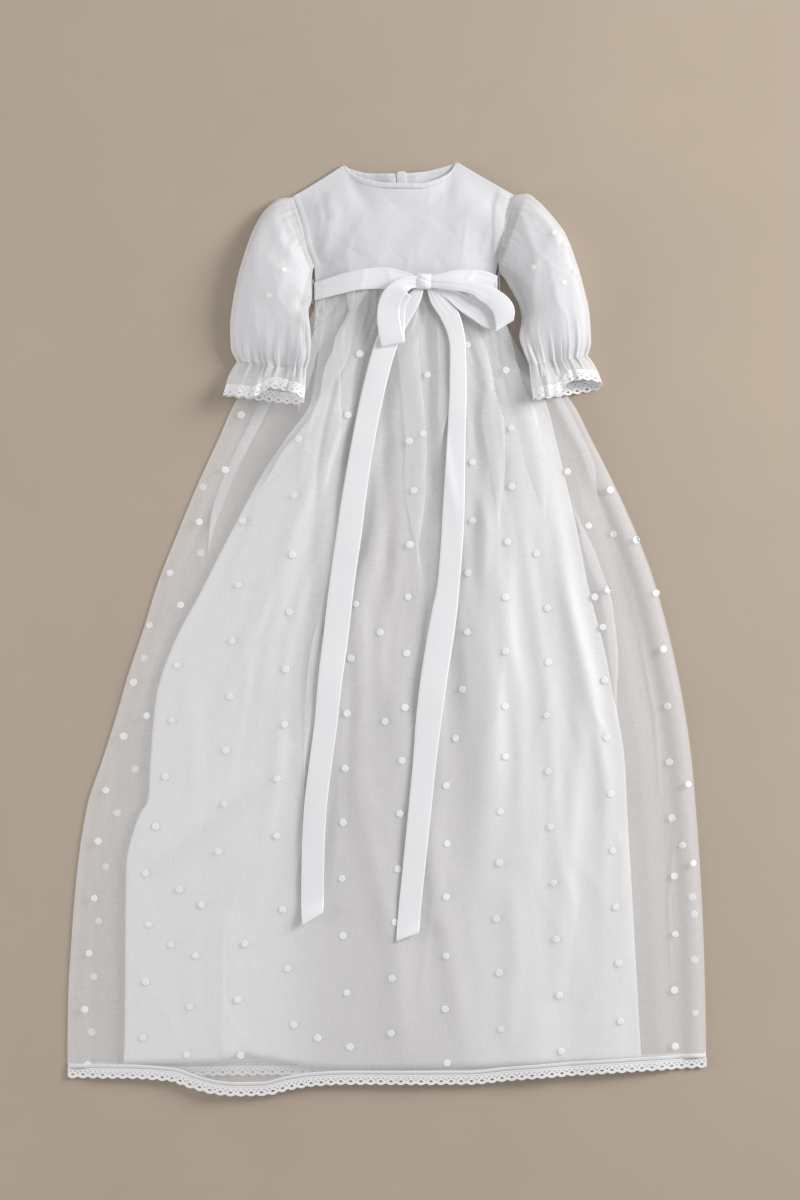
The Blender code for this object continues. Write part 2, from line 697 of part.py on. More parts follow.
# A sleeve climbs onto the skirt from this far outside its edge to this far inside it, and up to this y.
CLIMB = (-26.0, 2.0)
CLIMB_ABOVE = (300.0, 328.0)
GROUND_REACH = 12.0  # a sleeve rests on the highest the skirt is this far to either side


def sleeve_ground(x, y):
    """What a sleeve lies on: the surface, or the side of the skirt that runs under its lower end."""
    left = curve(y, OVERSKIRT["y"], OVERSKIRT["left"])
    right = curve(y, OVERSKIRT["y"], OVERSKIRT["right"])
    over_skirt = ramp(np.minimum(x - left, right - x), *CLIMB) * (1 - ramp(y, *CLIMB_ABOVE))
    near = [skirt_crest(np.clip(x + dx, left, right), y) for dx in (-GROUND_REACH, 0.0, GROUND_REACH)]
    return over_skirt * (np.max(near, axis=0) + LAYER)


def ring_section(height, gather, top_steps, under_steps):
    """The closed section of a flattened sleeve, its width from -1 to 1: a low arch with a flat underside."""
    top = np.linspace(math.pi, 0, top_steps + 1)
    under = np.linspace(0, -math.pi, under_steps + 1)[1:-1]
    side = SIDE_SHARE * height
    wave = np.where(np.arange(top_steps + 1) % 2 == 1, 1.0, GATHER_TROUGH)
    top_z = side + (height - side) * np.sin(top) ** ARCH_FULLNESS + gather * wave * np.sin(top) ** 0.5
    # The underside drops to the ground soon after the edge and then lies flat on it.
    under_z = side * np.clip(1 - 1.3 * np.abs(np.sin(under)) ** 0.7, 0, 1)
    return np.concatenate([np.cos(top), np.cos(under)]), np.concatenate([top_z, under_z])


def drawn_in(across, z, by):
    """A closed section, its points set inwards along the section's own normals."""
    ring = np.stack([across, z], axis=1)
    ahead = np.roll(ring, -1, axis=0) - ring
    behind = ring - np.roll(ring, 1, axis=0)
    ahead /= np.linalg.norm(ahead, axis=1)[:, None]
    behind /= np.linalg.norm(behind, axis=1)[:, None]
    both = ahead + behind
    both /= np.linalg.norm(both, axis=1)[:, None]
    inward = np.stack([both[:, 1], -both[:, 0]], axis=1)
    stretch = np.clip((both * ahead).sum(1), 0.6, 1)
    return (ring + inward * (by / stretch)[:, None]).T


def ring_walls(outer_edge, inner_edge, height, gather, steps, base=0.0, lean=(0.0, 0.0)):
    """One ring of a sleeve, outside and inside its wall, with its points in the gown's x, y and z."""
    outer_edge, inner_edge = np.array(outer_edge), np.array(inner_edge)
    middle, half = (outer_edge + inner_edge) / 2, (inner_edge - outer_edge) / 2
    reach = np.linalg.norm(half)
    unit = half / reach
    share, z = ring_section(height, gather, *steps)
    walls = []
    for across, up in ((share * reach, z), drawn_in(share * reach, z, CLOTH)):
        lifted = np.clip(up / height, 0, 1)[:, None]
        along = middle + across[:, None] * unit + lifted * np.array(lean)
        walls.append(np.column_stack([along, up + base]))
    ground = sleeve_ground(walls[0][:, 0], walls[0][:, 1])
    for wall in walls:
        wall[:, 2] += ground
    return walls


def turned(rings, mirrored):
    """Rings as arrays of outer and inner points, wound so that the wall's faces point out."""
    outer = np.array([r[0] for r in rings])
    inner = np.array([r[1] for r in rings])
    return (outer[:, ::-1], inner[:, ::-1]) if mirrored else (outer, inner)


def armhole_x(side, y):
    """Where the bodice's armhole edge is, clear of it all along the curve."""
    edge, way = (LEFT_SIDE, -1) if side == "left" else (RIGHT_SIDE, 1)
    return curve(y, edge["y"], edge["x"]) + way * 2 * SEAM


def sleeve(side, rows):
    mirrored = side == "right"
    outside, lining = [], []
    for ox, oy, ix, iy, height, gather, set_in in zip(*rows.values()):
        outer_edge, inner_edge = np.array((ox, oy)), np.array((ix, iy))
        outside.append(ring_walls(outer_edge, inner_edge, height, gather, SLEEVE_STEPS))
        if len(outside) == 1:
            for wall in outside[0]:
                wall[:, 0] = armhole_x(side, wall[:, 1])
            continue
        unit = (inner_edge - outer_edge) / np.linalg.norm(inner_edge - outer_edge)
        clear = LINING_CLEARANCE
        lining.append(
            ring_walls(
                outer_edge + unit * LINING_OUTER_INSET * clear, inner_edge - unit * (clear + set_in),
                height - 2 * clear - LINING_RISE, 0.0, LINING_STEPS, base=clear + LINING_RISE,
            )
        )
    tube(f"sleeve_{side}", *turned(outside, mirrored), WHITE_ORGANZA)
    tube(f"sleeve_lining_{side}", *turned(lining, mirrored), WHITE_COTTON)


def cuff(side):
    mirrored = side == "right"
    outer, inner = np.array(CUFF_ENDS[side]["outer"]), np.array(CUFF_ENDS[side]["inner"])
    unit = (inner - outer) / np.linalg.norm(inner - outer)
    down = np.array([unit[1], -unit[0]])
    down = down if down[1] < 0 else -down
    for name, rows, colour in (("cuff", CUFF, WHITE_ORGANZA), ("cuff_lace", CUFF_LACE, WHITE_LACE)):
        rings = []
        for top_reach, under_reach, outward, height, ruffle in zip(*rows.values()):
            rings.append(
                ring_walls(
                    outer + down * under_reach - unit * outward,
                    inner + down * under_reach + unit * outward * CUFF_INNER_SHARE,
                    height, ruffle, SLEEVE_STEPS, lean=down * (top_reach - under_reach),
                )
            )
        tube(f"{name}_{side}", *turned(rings, mirrored), colour)


# ---------------------------------------------------------------- sash and bow

SASH_GAP = 0.5
SEAM_INSET = 1.0  # the flat stretch of the band starts this far in from each side seam
BELOW_BAND = 334.0  # the bow's ribbons rest on the skirt as it is below this y, clear of the waist seam
LOOP_HALF_WIDTH = 14.0
LOOP_TURN = 5.6  # of a loop's two limbs, the under limb's height over the skirt is less than this
LOOP_SAG = 1.5  # how much lower a loop may rest than on the highest skirt under it
BAND_SAMPLES = (-4.0, 0.0, 4.0)  # across, round each place of the band, where the skirt under it is felt
BAND_REACH = 10.0  # down from the band's middle to its lower edge
# The band's turn down to the back at each end: the share of the way out and of the way down.
BAND_TURN = ((0.75, 0.5), (1.0, 0.8), (1.0, 1.0))
BAND_TURN_FROM = 0.3
BACK_BAND_WIDTH = 17.0
# The knot: its place, half its reach over the band, how high it stands and how wide it is at its ends.
KNOT = {"x": 36.5, "y": 344.2, "reach": 7.6, "height": 5.4, "wide": 14.6, "waist": 1.4}
# A thread loop: half its length along the seam, how far it starts and stands off it, and its height.
THREAD_LOOP = {"reach": 12.0, "off": 1.6, "out": 1.5, "z": 4.2}
# Middle lines of the bow's ribbons: how high each point is over the skirt, the width seen and its direction.
LOOP_RIGHT = table(
    "x y over wide aim",
    (45.2, 342.8, 5.5, 9, 262),
    (55.0, 341.8, 7.0, 10, 262),
    (65.0, 340.6, 8.5, 11, 260),
    (76.0, 339.2, 9.6, 11.5, 258),
    (85.0, 337.3, 10.2, 12.5, 252),
    (93.5, 334.0, 10.4, 16, 236),
    (101.0, 330.0, 10.2, 20, 215),
    (107.0, 326.2, 9.8, 21, 208),
    (111.5, 321.9, 9.2, 21.5, 205),
    (114.8, 317.2, 8.6, 21.5, 205),
    (116.6, 312.2, 8.0, 21.5, 205),
    (117.2, 307.0, 7.4, 21.3, 207),
    (117.1, 303.0, 7.0, 21.0, 210),
    (117.0, 301.0, 6.6, 21.0, 211),
    (116.8, 300.0, 5.9, 21.0, 212),
    (116.6, 299.7, 5.0, 21.0, 212),
    (116.3, 300.2, 4.1, 21.0, 213),
    (115.6, 301.2, 3.4, 21.0, 215),
    (113.5, 302.9, 2.8, 21.0, 219),
    (108.5, 305.0, 2.7, 21.0, 230),
    (101.4, 308.2, 2.7, 21.0, 238),
    (88.8, 315.9, 2.7, 20, 241),
    (75.0, 323.6, 2.7, 17, 244),
    (61.0, 332.6, 2.7, 12, 252),
    (50.0, 338.4, 2.7, 9, 260),
)
LOOP_LEFT = table(
    "x y over wide aim",
    (27.8, 344.2, 5.5, 12, 272),
    (22.0, 343.2, 7.0, 13, 280),
    (16.5, 340.4, 8.2, 15, 294),
    (11.0, 336.4, 8.8, 17.5, 310),
    (6.2, 330.8, 8.8, 19.5, 326),
    (3.0, 324.0, 8.6, 21, 344),
    (1.4, 316.0, 8.2, 22, 358),
    (1.3, 308.0, 7.8, 22.5, 366),
    (2.2, 300.0, 7.4, 23, 370),
    (3.6, 292.5, 7.0, 23.4, 371),
    (5.2, 286.0, 6.5, 23.5, 371),
    (5.9, 282.8, 6.2, 23.5, 371),
    (6.2, 281.6, 5.5, 23.5, 371),
    (6.3, 281.2, 4.8, 23.5, 371),
    (6.2, 281.6, 4.1, 23.5, 371),
    (6.1, 282.8, 3.4, 23.5, 371),
    (6.0, 286.0, 2.8, 23.4, 371),
    (6.0, 291.0, 2.7, 23, 370),
    (6.6, 303.0, 2.7, 22, 364),
    (8.6, 315.0, 2.7, 19, 350),
    (13.0, 325.5, 2.7, 15, 330),
    (20.0, 333.6, 2.7, 11, 312),
)
TAIL_LEFT = table(
    "x y wide aim",
    (32.0, 333.6, 9, 350),
    (22.0, 321.5, 18, 338),
    (9.5, 304.0, 22, 334),
    (-1.9, 278.8, 22.6, 340),
    (-12.6, 240.0, 22.6, 345),
    (-21.4, 197.8, 22.6, 348),
    (-30.6, 145.0, 23.5, 350),
    (-37.8, 92.8, 25.0, 352),
    (-45.0, 42.0, 25.0, 352),
    (-51.4, -12.2, 25.0, 353),
    (-56.4, -52.0, 24.0, 353),
    (-60.4, -92.2, 22.8, 352),
    (-66.0, -135.0, 22.6, 353),
    (-71.1, -177.2, 22.6, 354),
    (-73.6, -223.2, 22.6, 357),
    (-74.2, -260.0, 22.4, 360),
    (-74.1, -290.5, 24.0, 393),
)
TAIL_RIGHT = table(
    "x y wide aim",
    (44.0, 334.6, 9, 14),
    (52.0, 324.0, 16, 22),
    (62.0, 311.0, 19, 20),
    (67.6, 296.0, 17, 12),
    (70.4, 278.8, 16, 5),
    (70.6, 240.0, 17, 2),
    (69.2, 197.8, 18, -2),
    (67.4, 150.0, 20, -4),
    (65.8, 107.8, 21.8, -5),
    (61.7, 47.8, 22.0, -7),
    (57.4, 17.0, 25.0, -10),
    (52.7, -12.2, 26.5, -10),
    (46.8, -50.0, 26.5, -10),
    (41.5, -92.2, 25.5, -9),
    (36.6, -142.2, 23.0, -8),
    (29.6, -212.2, 22.6, -6),
    (22.4, -283.2, 22.2, -5),
    (20.5, -308.0, 24.0, 22),
)


def crest_over(x, y, half_width, aim):
    """The highest the skirt reaches under a ribbon's width."""
    angle = np.radians(aim)
    tops = []
    for share in (-1.0, -0.5, 0.0, 0.5, 1.0):
        side = half_width * share
        tops.append(skirt_crest(x + side * np.cos(angle), y + side * np.sin(angle)))
    return np.max(tops, axis=0)


def resampled(rows, columns, count):
    """A ribbon's table read at evenly spread places along it."""
    at = np.arange(len(rows["x"]))
    fine = np.linspace(0, len(at) - 1, count)
    return [curve(fine, at, rows[c]) for c in columns]


def bow_loop(name, rows, count):
    x, y, over, wide, aim = resampled(rows, ("x", "y", "over", "wide", "aim"), count)
    rest = crest_over(x, np.minimum(y, BELOW_BAND), LOOP_HALF_WIDTH, 0.0)
    rest = np.maximum(rest, np.max(rest[over < LOOP_TURN]) - LOOP_SAG)
    return ribbon(name, points(x, y, rest + over), wide, aim, WHITE_SATIN)


def bow_tail(name, rows, count):
    x, y, wide, aim = resampled(rows, ("x", "y", "wide", "aim"), count)
    rest = crest_over(x, np.minimum(y, BELOW_BAND), wide / 2, aim)
    neighbour = np.maximum(np.roll(rest, 1), np.roll(rest, -1))
    rest = np.maximum(rest, (rest + neighbour) / 2)
    return ribbon(name, points(x, y, rest + SASH_GAP + RIBBON / 2), wide, aim, WHITE_SATIN)


def sash():
    """The band round the waist: its front with a turn down at each end, and its stretch under the back."""
    left, right = WAIST["x"][0] + SEAM_INSET, WAIST["x"][-1] - SEAM_INSET
    x = np.linspace(left, right, 27)
    y = waist_y(x)
    felt = [skirt_crest(x + dx, y + dy) for dx in BAND_SAMPLES for dy in (-BAND_REACH, 0.0)]
    z = np.max(felt, axis=0) + SASH_GAP + RIBBON / 2
    wide = curve(x, WAIST["x"], WAIST["sash"])
    out = SEAM_INSET + SASH_GAP + RIBBON
    low = RIBBON + SEAM + RIBBON / 2
    start, end = [], []
    for aside, down in BAND_TURN:
        fall = (down - BAND_TURN_FROM) / (1 - BAND_TURN_FROM)
        start.append((left - out * aside, y[0], z[0] + (low - z[0]) * fall))
        end.append((right + out * aside, y[-1], z[-1] + (low - z[-1]) * fall))
    middle = np.array([*start[::-1], *zip(x, y, z), *end])
    width = np.array([wide[0]] * len(start) + [*wide] + [wide[-1]] * len(end))
    ribbon("sash_front", middle, width, np.full(len(width), 90.0), WHITE_SATIN)
    x = np.linspace(left - out, right + out, 17)
    flat = points(x, waist_y(x), RIBBON / 2)
    ribbon("sash_back", flat, np.full(len(x), BACK_BAND_WIDTH), np.full(len(x), 90.0), WHITE_SATIN)


def knot():
    """The ribbon's turn over the middle of the bow: a short arch across the sash."""
    rest = float(skirt_crest(KNOT["x"], KNOT["y"] - BAND_REACH)) + SASH_GAP + RIBBON + SEAM + RIBBON / 2
    angle = np.linspace(0, math.pi, 13)
    y = KNOT["y"] - KNOT["reach"] * np.cos(angle)
    z = rest + KNOT["height"] * np.sin(angle) ** 0.6
    wide = KNOT["wide"] - KNOT["waist"] * np.sin(angle)
    ribbon("sash_knot", points(KNOT["x"], y, z), wide, np.zeros(len(angle)), WHITE_SATIN)


def thread_loops():
    """A worked thread loop at each side seam, which stands off the seam and holds the sash."""
    for name, x, way in (("left", WAIST["x"][0], -1), ("right", WAIST["x"][-1], 1)):
        angle = np.linspace(0, math.pi, 9)
        out = x + way * (THREAD_LOOP["off"] + THREAD_LOOP["out"] * np.sin(angle) ** 0.5)
        along = float(waist_y(x)) - THREAD_LOOP["reach"] * np.cos(angle)
        aim = 90 - way * (180 - np.degrees(angle))
        middle = points(out, along, THREAD_LOOP["z"])
        width = np.full(len(angle), THREAD)
        ribbon(f"thread_loop_{name}", middle, width, aim, WHITE_COTTON, 0.8, THREAD)


def main():
    for item in list(bpy.data.objects):
        bpy.data.objects.remove(item)
    skirt()
    bodice()
    neckline()
    button()
    sleeve("left", SLEEVE_LEFT)
    sleeve("right", SLEEVE_RIGHT)
    cuff("left")
    cuff("right")
    sash()
    knot()
    bow_loop("sash_loop_right", LOOP_RIGHT, 34)
    bow_loop("sash_loop_left", LOOP_LEFT, 32)
    bow_tail("sash_tail_left", TAIL_LEFT, 36)
    bow_tail("sash_tail_right", TAIL_RIGHT, 38)
    thread_loops()


main()
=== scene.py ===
"""A christening gown laid out on its back: its cloth, lace, ribbon and stitching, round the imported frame."""
import math

import bpy
import numpy as np
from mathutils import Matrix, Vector
from mathutils.bvhtree import BVHTree


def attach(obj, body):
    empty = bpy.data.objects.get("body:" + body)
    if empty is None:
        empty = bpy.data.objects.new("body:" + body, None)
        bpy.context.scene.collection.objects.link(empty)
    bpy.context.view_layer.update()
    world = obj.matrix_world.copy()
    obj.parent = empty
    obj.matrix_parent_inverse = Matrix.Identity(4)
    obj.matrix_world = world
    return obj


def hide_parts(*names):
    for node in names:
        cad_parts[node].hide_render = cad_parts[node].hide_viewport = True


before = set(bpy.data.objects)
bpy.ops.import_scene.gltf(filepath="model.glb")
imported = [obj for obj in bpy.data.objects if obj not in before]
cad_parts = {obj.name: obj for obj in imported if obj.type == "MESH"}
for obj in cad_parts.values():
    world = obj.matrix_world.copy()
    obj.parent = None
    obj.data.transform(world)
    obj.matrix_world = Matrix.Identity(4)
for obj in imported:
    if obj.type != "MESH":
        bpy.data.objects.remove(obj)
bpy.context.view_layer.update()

MM = 0.001
CLOTH, RIBBON, SEAM, LAYER = 1.2, 1.0, 0.3, 1.2  # the frame's walls, and the room it leaves between pieces
FRONT = CLOTH + SEAM
random = np.random.default_rng(21)


def table(columns, *rows):
    """Rows of numbers as a dictionary of named columns."""
    return dict(zip(columns.split(), np.array(rows, float).T))


def curve(at, x, y):
    """The smooth line through the points (x, y), x rising or falling, that never overshoots them."""
    if x[0] > x[-1]:
        x, y = x[::-1], y[::-1]
    step = np.diff(x)
    slope = np.diff(y) / step
    before, after = slope[:-1], slope[1:]
    same = before * after > 0
    tangent = np.zeros(len(y))
    tangent[0], tangent[-1] = slope[0], slope[-1]
    tangent[1:-1][same] = 2 * before[same] * after[same] / (before + after)[same]
    at = np.clip(at, x[0], x[-1])
    k = np.clip(np.searchsorted(x, at) - 1, 0, len(step) - 1)
    f = (at - x[k]) / step[k]
    start = y[k] * (1 + 2 * f) + step[k] * tangent[k] * f
    end = y[k + 1] * (3 - 2 * f) - step[k] * tangent[k + 1] * (1 - f)
    return start * (1 - f) ** 2 + end * f**2


def ramp(value, start, end):
    """0 up to start and 1 from end on, with a soft S between them."""
    f = np.clip((value - start) / (end - start), 0, 1)
    return f * f * (3 - 2 * f)


def hump(value, middle, half_width):
    """1 at the middle, falling softly to 0 at half_width to either side."""
    f = np.clip(np.abs(value - middle) / half_width, 0, 1)
    return 0.5 + 0.5 * np.cos(math.pi * f)


def bell(off, width):
    """1 where off is 0, falling away to both sides as a bell curve of this width."""
    return np.exp(-((off / width) ** 2))


def wave(turns, phase=0.0):
    return np.sin(2 * math.pi * turns + phase)


def within(share, start, end):
    """0 at both sides of a panel, where share is 0 or 1, rising to 1 from start to end inside them."""
    return ramp(np.minimum(share, 1 - share), start, end)


def between(grid, i, j, f, g):
    """A grid read the share f of the way from column i to the next, and g from row j to the next."""
    return (
        grid[j, i] * (1 - f) * (1 - g) + grid[j, i + 1] * f * (1 - g)
        + grid[j + 1, i] * (1 - f) * g + grid[j + 1, i + 1] * f * g
    )


def points(x, y, z):
    return np.stack(np.broadcast_arrays(x, y, z), axis=-1).astype(float)


def unit(vectors):
    return vectors / np.maximum(np.linalg.norm(vectors, axis=-1, keepdims=True), 1e-9)


def run_along(line):
    """How far each point of a line is from its start."""
    return np.concatenate([[0], np.cumsum(np.linalg.norm(np.diff(line, axis=0), axis=1))])


def smooth_rows(grid, count):
    """A grid of points with its rows read smoothly at `count` places."""
    at = np.arange(len(grid), dtype=float)
    fine = np.linspace(0, len(grid) - 1, count)
    flat = grid.reshape(len(grid), -1)
    return np.stack([curve(fine, at, column) for column in flat.T], axis=1).reshape(count, *grid.shape[1:])


# ---------------- materials


def shader_of(name, colour, roughness, **sockets):
    material = bpy.data.materials.new(name)
    material.use_nodes = True
    shader = material.node_tree.nodes["Principled BSDF"]
    shader.inputs["Base Color"].default_value = (*colour, 1)
    shader.inputs["Roughness"].default_value = roughness
    for socket, value in sockets.items():
        shader.inputs[socket.replace("_", " ")].default_value = value
    return material, shader


def node(tree, kind, inputs=(), **settings):
    made = tree.nodes.new("ShaderNode" + kind)
    for key, value in settings.items():
        setattr(made, key, value)
    for key, value in dict(inputs).items():
        if isinstance(value, bpy.types.NodeSocket):
            tree.links.new(value, made.inputs[key])
        else:
            made.inputs[key].default_value = value
    return made


def arithmetic(tree, operation, *values):
    return node(tree, "Math", dict(enumerate(values)), operation=operation).outputs[0]


def noise(tree, place, scale, detail, roughness):
    inputs = {"Vector": place, "Scale": scale, "Detail": detail, "Roughness": roughness}
    return node(tree, "TexNoise", inputs).outputs["Fac"]


def streaks(tree, place, scale, detail, roughness=0.5):
    """Noise in the cloth's own coordinates, in metres, scaled apart along and across its threads."""
    place = node(tree, "Mapping", {"Vector": place, "Scale": scale}).outputs["Vector"]
    return noise(tree, place, 1.0, detail, roughness)


def two_tones(tree, fac, low, high, stops=(0.0, 1.0)):
    """A colour that goes from low to high as fac goes from one stop to the other."""
    tone = node(tree, "ValToRGB", {"Fac": fac})
    for stop, position, colour in zip(tone.color_ramp.elements, stops, (low, high)):
        stop.position = position
        stop.color = (*colour, 1)
    return tone.outputs["Color"]


def fabric(
    name, colour, roughness, thread, weave, shade, crumple=0.0, alpha=None, uneven=0.0, middle=None, **sockets
):
    """Cloth: crossing threads of a given pitch in mm, slubs, an uneven tone and fine crumples, and, where
    middle is given, painted shade down its middle.
    """
    material, shader = shader_of(name, colour, roughness, **sockets)
    tree = material.node_tree
    place = node(tree, "Attribute", attribute_name="cloth").outputs["Vector"]
    per_metre = 2 * math.pi / 20 / (thread * MM)
    bands = {"Vector": place, "Scale": per_metre, "Distortion": 1.2, "Detail": 1.0}
    height = arithmetic(tree, "MAXIMUM", *(
        node(tree, "TexWave", bands, wave_type="BANDS", bands_direction=direction).outputs["Fac"]
        for direction in "XY"
    ))
    bump = node(tree, "Bump", {"Height": height, "Strength": weave, "Distance": 0.25 * thread * MM})
    if crumple:
        folds = streaks(tree, place, (70, 45, 60), 3.0, 0.55)
        crumples = {"Height": folds, "Strength": 0.6, "Distance": crumple * MM}
        bump = node(tree, "Bump", {**crumples, "Normal": bump.outputs["Normal"]})
    tree.links.new(bump.outputs["Normal"], shader.inputs["Normal"])
    slubs, wefts = (streaks(tree, place, scale, 2.0) for scale in ((900, 60, 60), (60, 900, 60)))
    threads = arithmetic(tree, "ADD", slubs, wefts)
    deep = tuple(c * (1 - shade) for c in colour)
    shown = two_tones(tree, arithmetic(tree, "MULTIPLY", threads, 0.5), deep, colour, (0.3, 0.7))
    if middle is not None:
        # Painted shade: the cloth is coloured greyer down its middle than at its sides, standing in for the
        # shade that falls there. The cloth reads greyer down its middle than at its sides; the cause is not
        # known.
        across = node(tree, "SeparateXYZ", {"Vector": place}).outputs["X"]
        off = arithmetic(tree, "ABSOLUTE", arithmetic(tree, "SUBTRACT", across, 0.008))
        limits = {"Value": off, "From Min": 0.045, "From Max": 0.13}
        side = node(tree, "MapRange", limits, interpolation_type="SMOOTHSTEP").outputs["Result"]
        mix = node(tree, "Mix", {0: side}, data_type="RGBA")
        mix.inputs[6].default_value = (*middle, 1)
        tree.links.new(shown, mix.inputs[7])
        shown = mix.outputs[2]
    tree.links.new(shown, shader.inputs["Base Color"])
    if alpha is not None:
        limits = {"From Min": 0.7, "From Max": 1.3, "To Min": alpha - uneven, "To Max": alpha + uneven}
        cover = node(tree, "MapRange", {"Value": threads, **limits})
        tree.links.new(cover.outputs["Result"], shader.inputs["Alpha"])
    return material


def mottled(name, low, high, roughness, scale, detail=3.0, grain=0.5, **sockets):
    """A plain material whose tone wanders a little between two colours."""
    material, shader = shader_of(name, high, roughness, **sockets)
    tree = material.node_tree
    place = node(tree, "TexCoord").outputs["Object"]
    tone = two_tones(tree, noise(tree, place, scale, detail, grain), low, high)
    tree.links.new(tone, shader.inputs["Base Color"])
    return material


# ---------------- the frame's own lines

OVERSKIRT = table(
    "y left right",
    (345, -71.6, 108.9), (325, -71.6, 110), (313, -75, 115), (298, -85, 121.8), (268, -112, 138.3),
    (248, -132, 160), (228, -150.3, 183.2), (190, -167.8, 203.5), (140, -190.6, 228.6),
    (90, -211.2, 250.9), (45, -229, 267.5), (0, -243, 280), (-50, -259.8, 291.4), (-92, -271.8, 299),
    (-132, -284.5, 304.4), (-178, -299.7, 308.4), (-240, -309.4, 312.8), (-310, -315.3, 316.3),
    (-370, -318.7, 318), (-425, -319.4, 318.9), (-470, -318.6, 319.2),
)
LINING = table(
    "y left right",
    (345, -63.6, 100.9), (300, -66, 110), (265, -70, 129), (225, -76, 158.5), (190, -100, 168),
    (159, -121, 175.5), (93, -157, 190.5), (38, -185, 201.5), (-20, -215, 216.5), (-69, -230.6, 226.5),
    (-135, -236.4, 237.5), (-170, -238, 239.2), (-188, -248, 240), (-239, -260.5, 243),
    (-405, -262.1, 252.4), (-440, -263.1, 254.6),
)
WAIST = table(
    "x y sash",
    (-71.6, 335.4, 18), (-45, 342.6, 20), (-23.6, 346.8, 20.6), (-3.5, 347.9, 21.5), (19, 345.5, 17),
    (29, 344.6, 13), (44, 344.6, 13), (55, 345.2, 16), (74, 345.7, 21), (90, 345.7, 21), (101, 344.4, 20),
    (109, 342.5, 17),
)
HEM = table(
    "x front back",
    (-319, -439.2, -438.5), (-263, -439.2, -438), (-214, -442.2, -437.6), (-192, -449.2, -437.4),
    (-170, -454.7, -437.2), (-147, -456.5, -437), (-125, -456.3, -436.9), (-100, -450.7, -436.7),
    (-74, -446.9, -436.5), (-40, -445.2, -436.2), (80, -445.2, -435), (123, -441, -433.9),
    (210, -434.5, -431.5), (319, -428.6, -428.3),
)
LINING_HEM = table(
    "x front back",
    (-263, -435.5, -435.5), (-164, -433, -434.5), (-150, -427, -434), (-100, -434, -433.5),
    (-49, -440, -433), (60, -439, -432), (170, -435, -431), (255, -431.3, -430.5),
)
FOLDS = table(
    "upper lower top bottom half_width height",
    (0.3, 0.17, 60, 420, 24, 3), (0.52, 0.42, 40, 330, 20, 2.6), (0.62, 0.66, 90, 560, 26, 3.4),
    (0.4, 0.22, 360, 640, 34, 5), (0.24, 0.25, 590, 900, 20, 2.8), (0.5, 0.53, 380, 800, 30, 3),
    (0.72, 0.74, 480, 900, 28, 3.6), (0.8, 0.86, 120, 520, 22, 2.6), (0.84, 0.84, 560, 900, 30, 2.8),
)
LEFT_SHOULDER = table("x y", (-95.6, 430.3), (-72, 444.3), (-43, 462.8))
FRONT_NECK = table(
    "x y",
    (-43, 462.8), (-36, 455.4), (-22, 448), (0, 443.9), (32, 443.4), (46, 446.6), (62, 455),
    (69.4, 465.6),
)
BACK_NECK = table(
    "x y",
    (-43, 462.8), (-37.5, 459), (-16, 454.3), (8.5, 454.1), (32, 455.4), (54.5, 460.2), (69.4, 465.6),
)
RIGHT_SHOULDER = table("x y", (69.4, 465.6), (93.5, 451.3), (126.9, 432.3))
LEFT_SIDE = table(
    "y x",
    (430.3, -95.6), (414.8, -90.1), (397.8, -84.7), (383.8, -82.1), (364.3, -75.1), (358.8, -72.8),
    (335.4, -71.6),
)
RIGHT_SIDE = table(
    "y x",
    (432.3, 126.9), (410, 121.5), (385, 115.5), (363, 110.5), (352, 108.4), (342.5, 108.9),
)
SLEEVE_LEFT = table(
    "outer_x outer_y inner_x inner_y height lining",
    (-97, 430, -74.6, 359.6, 9.5, 2), (-106, 428.5, -76.4, 352, 14, 2.5),
    (-120.5, 418.5, -77.4, 345, 18.5, 4), (-132.5, 399, -77.6, 337, 22, 6), (-142, 374, -78, 326, 26, 7),
    (-149, 350, -80, 315.5, 27, 7), (-153.8, 326, -77, 301, 26, 6), (-156.6, 302, -75.2, 285, 23, 5),
    (-156, 280, -76.3, 270, 19, 4), (-150, 266, -80, 257, 15, 3),
)
SLEEVE_RIGHT = table(
    "outer_x outer_y inner_x inner_y height lining",
    (128.2, 432, 112, 364, 9.5, 2), (139, 433.6, 111.6, 356, 14, 4), (153, 424, 117.5, 348, 18.5, 8),
    (166.5, 409, 122, 340, 22, 12), (178.5, 392, 127, 331, 26, 14), (187.5, 368, 132, 320, 27, 13),
    (196, 340, 134, 307, 26, 10), (202, 313, 131.8, 291, 23, 7), (203.6, 286, 136, 275, 19, 4),
    (200.4, 271.8, 141.4, 262, 15, 3),
)
CUFF = table(
    "top_reach under_reach outward height",
    (0.4, 0.4, 0, 15), (5, 7, 3.2, 17), (12, 16, 6.5, 19), (12.4, 16.4, 6.6, 19.2), (23.5, 36, 9.5, 21),
)
LOOP_RIGHT = table(
    "x y over wide aim",
    (45.2, 342.8, 5.5, 9, 262), (55, 341.8, 7, 10, 262), (65, 340.6, 8.5, 11, 260),
    (76, 339.2, 9.6, 11.5, 258), (85, 337.3, 10.2, 12.5, 252), (93.5, 334, 10.4, 16, 236),
    (101, 330, 10.2, 20, 215), (107, 326.2, 9.8, 21, 208), (111.5, 321.9, 9.2, 21.5, 205),
    (114.8, 317.2, 8.6, 21.5, 205), (116.6, 312.2, 8, 21.5, 205), (117.2, 307, 7.4, 21.3, 207),
    (117.1, 303, 7, 21, 210), (117, 301, 6.6, 21, 211), (116.8, 300, 5.9, 21, 212),
    (116.6, 299.7, 5, 21, 212), (116.3, 300.2, 4.1, 21, 213), (115.6, 301.2, 3.4, 21, 215),
    (113.5, 302.9, 2.8, 21, 219), (108.5, 305, 2.7, 21, 230), (101.4, 308.2, 2.7, 21, 238),
    (88.8, 315.9, 2.7, 20, 241), (75, 323.6, 2.7, 17, 244), (61, 332.6, 2.7, 12, 252),
    (50, 338.4, 2.7, 9, 260),
)
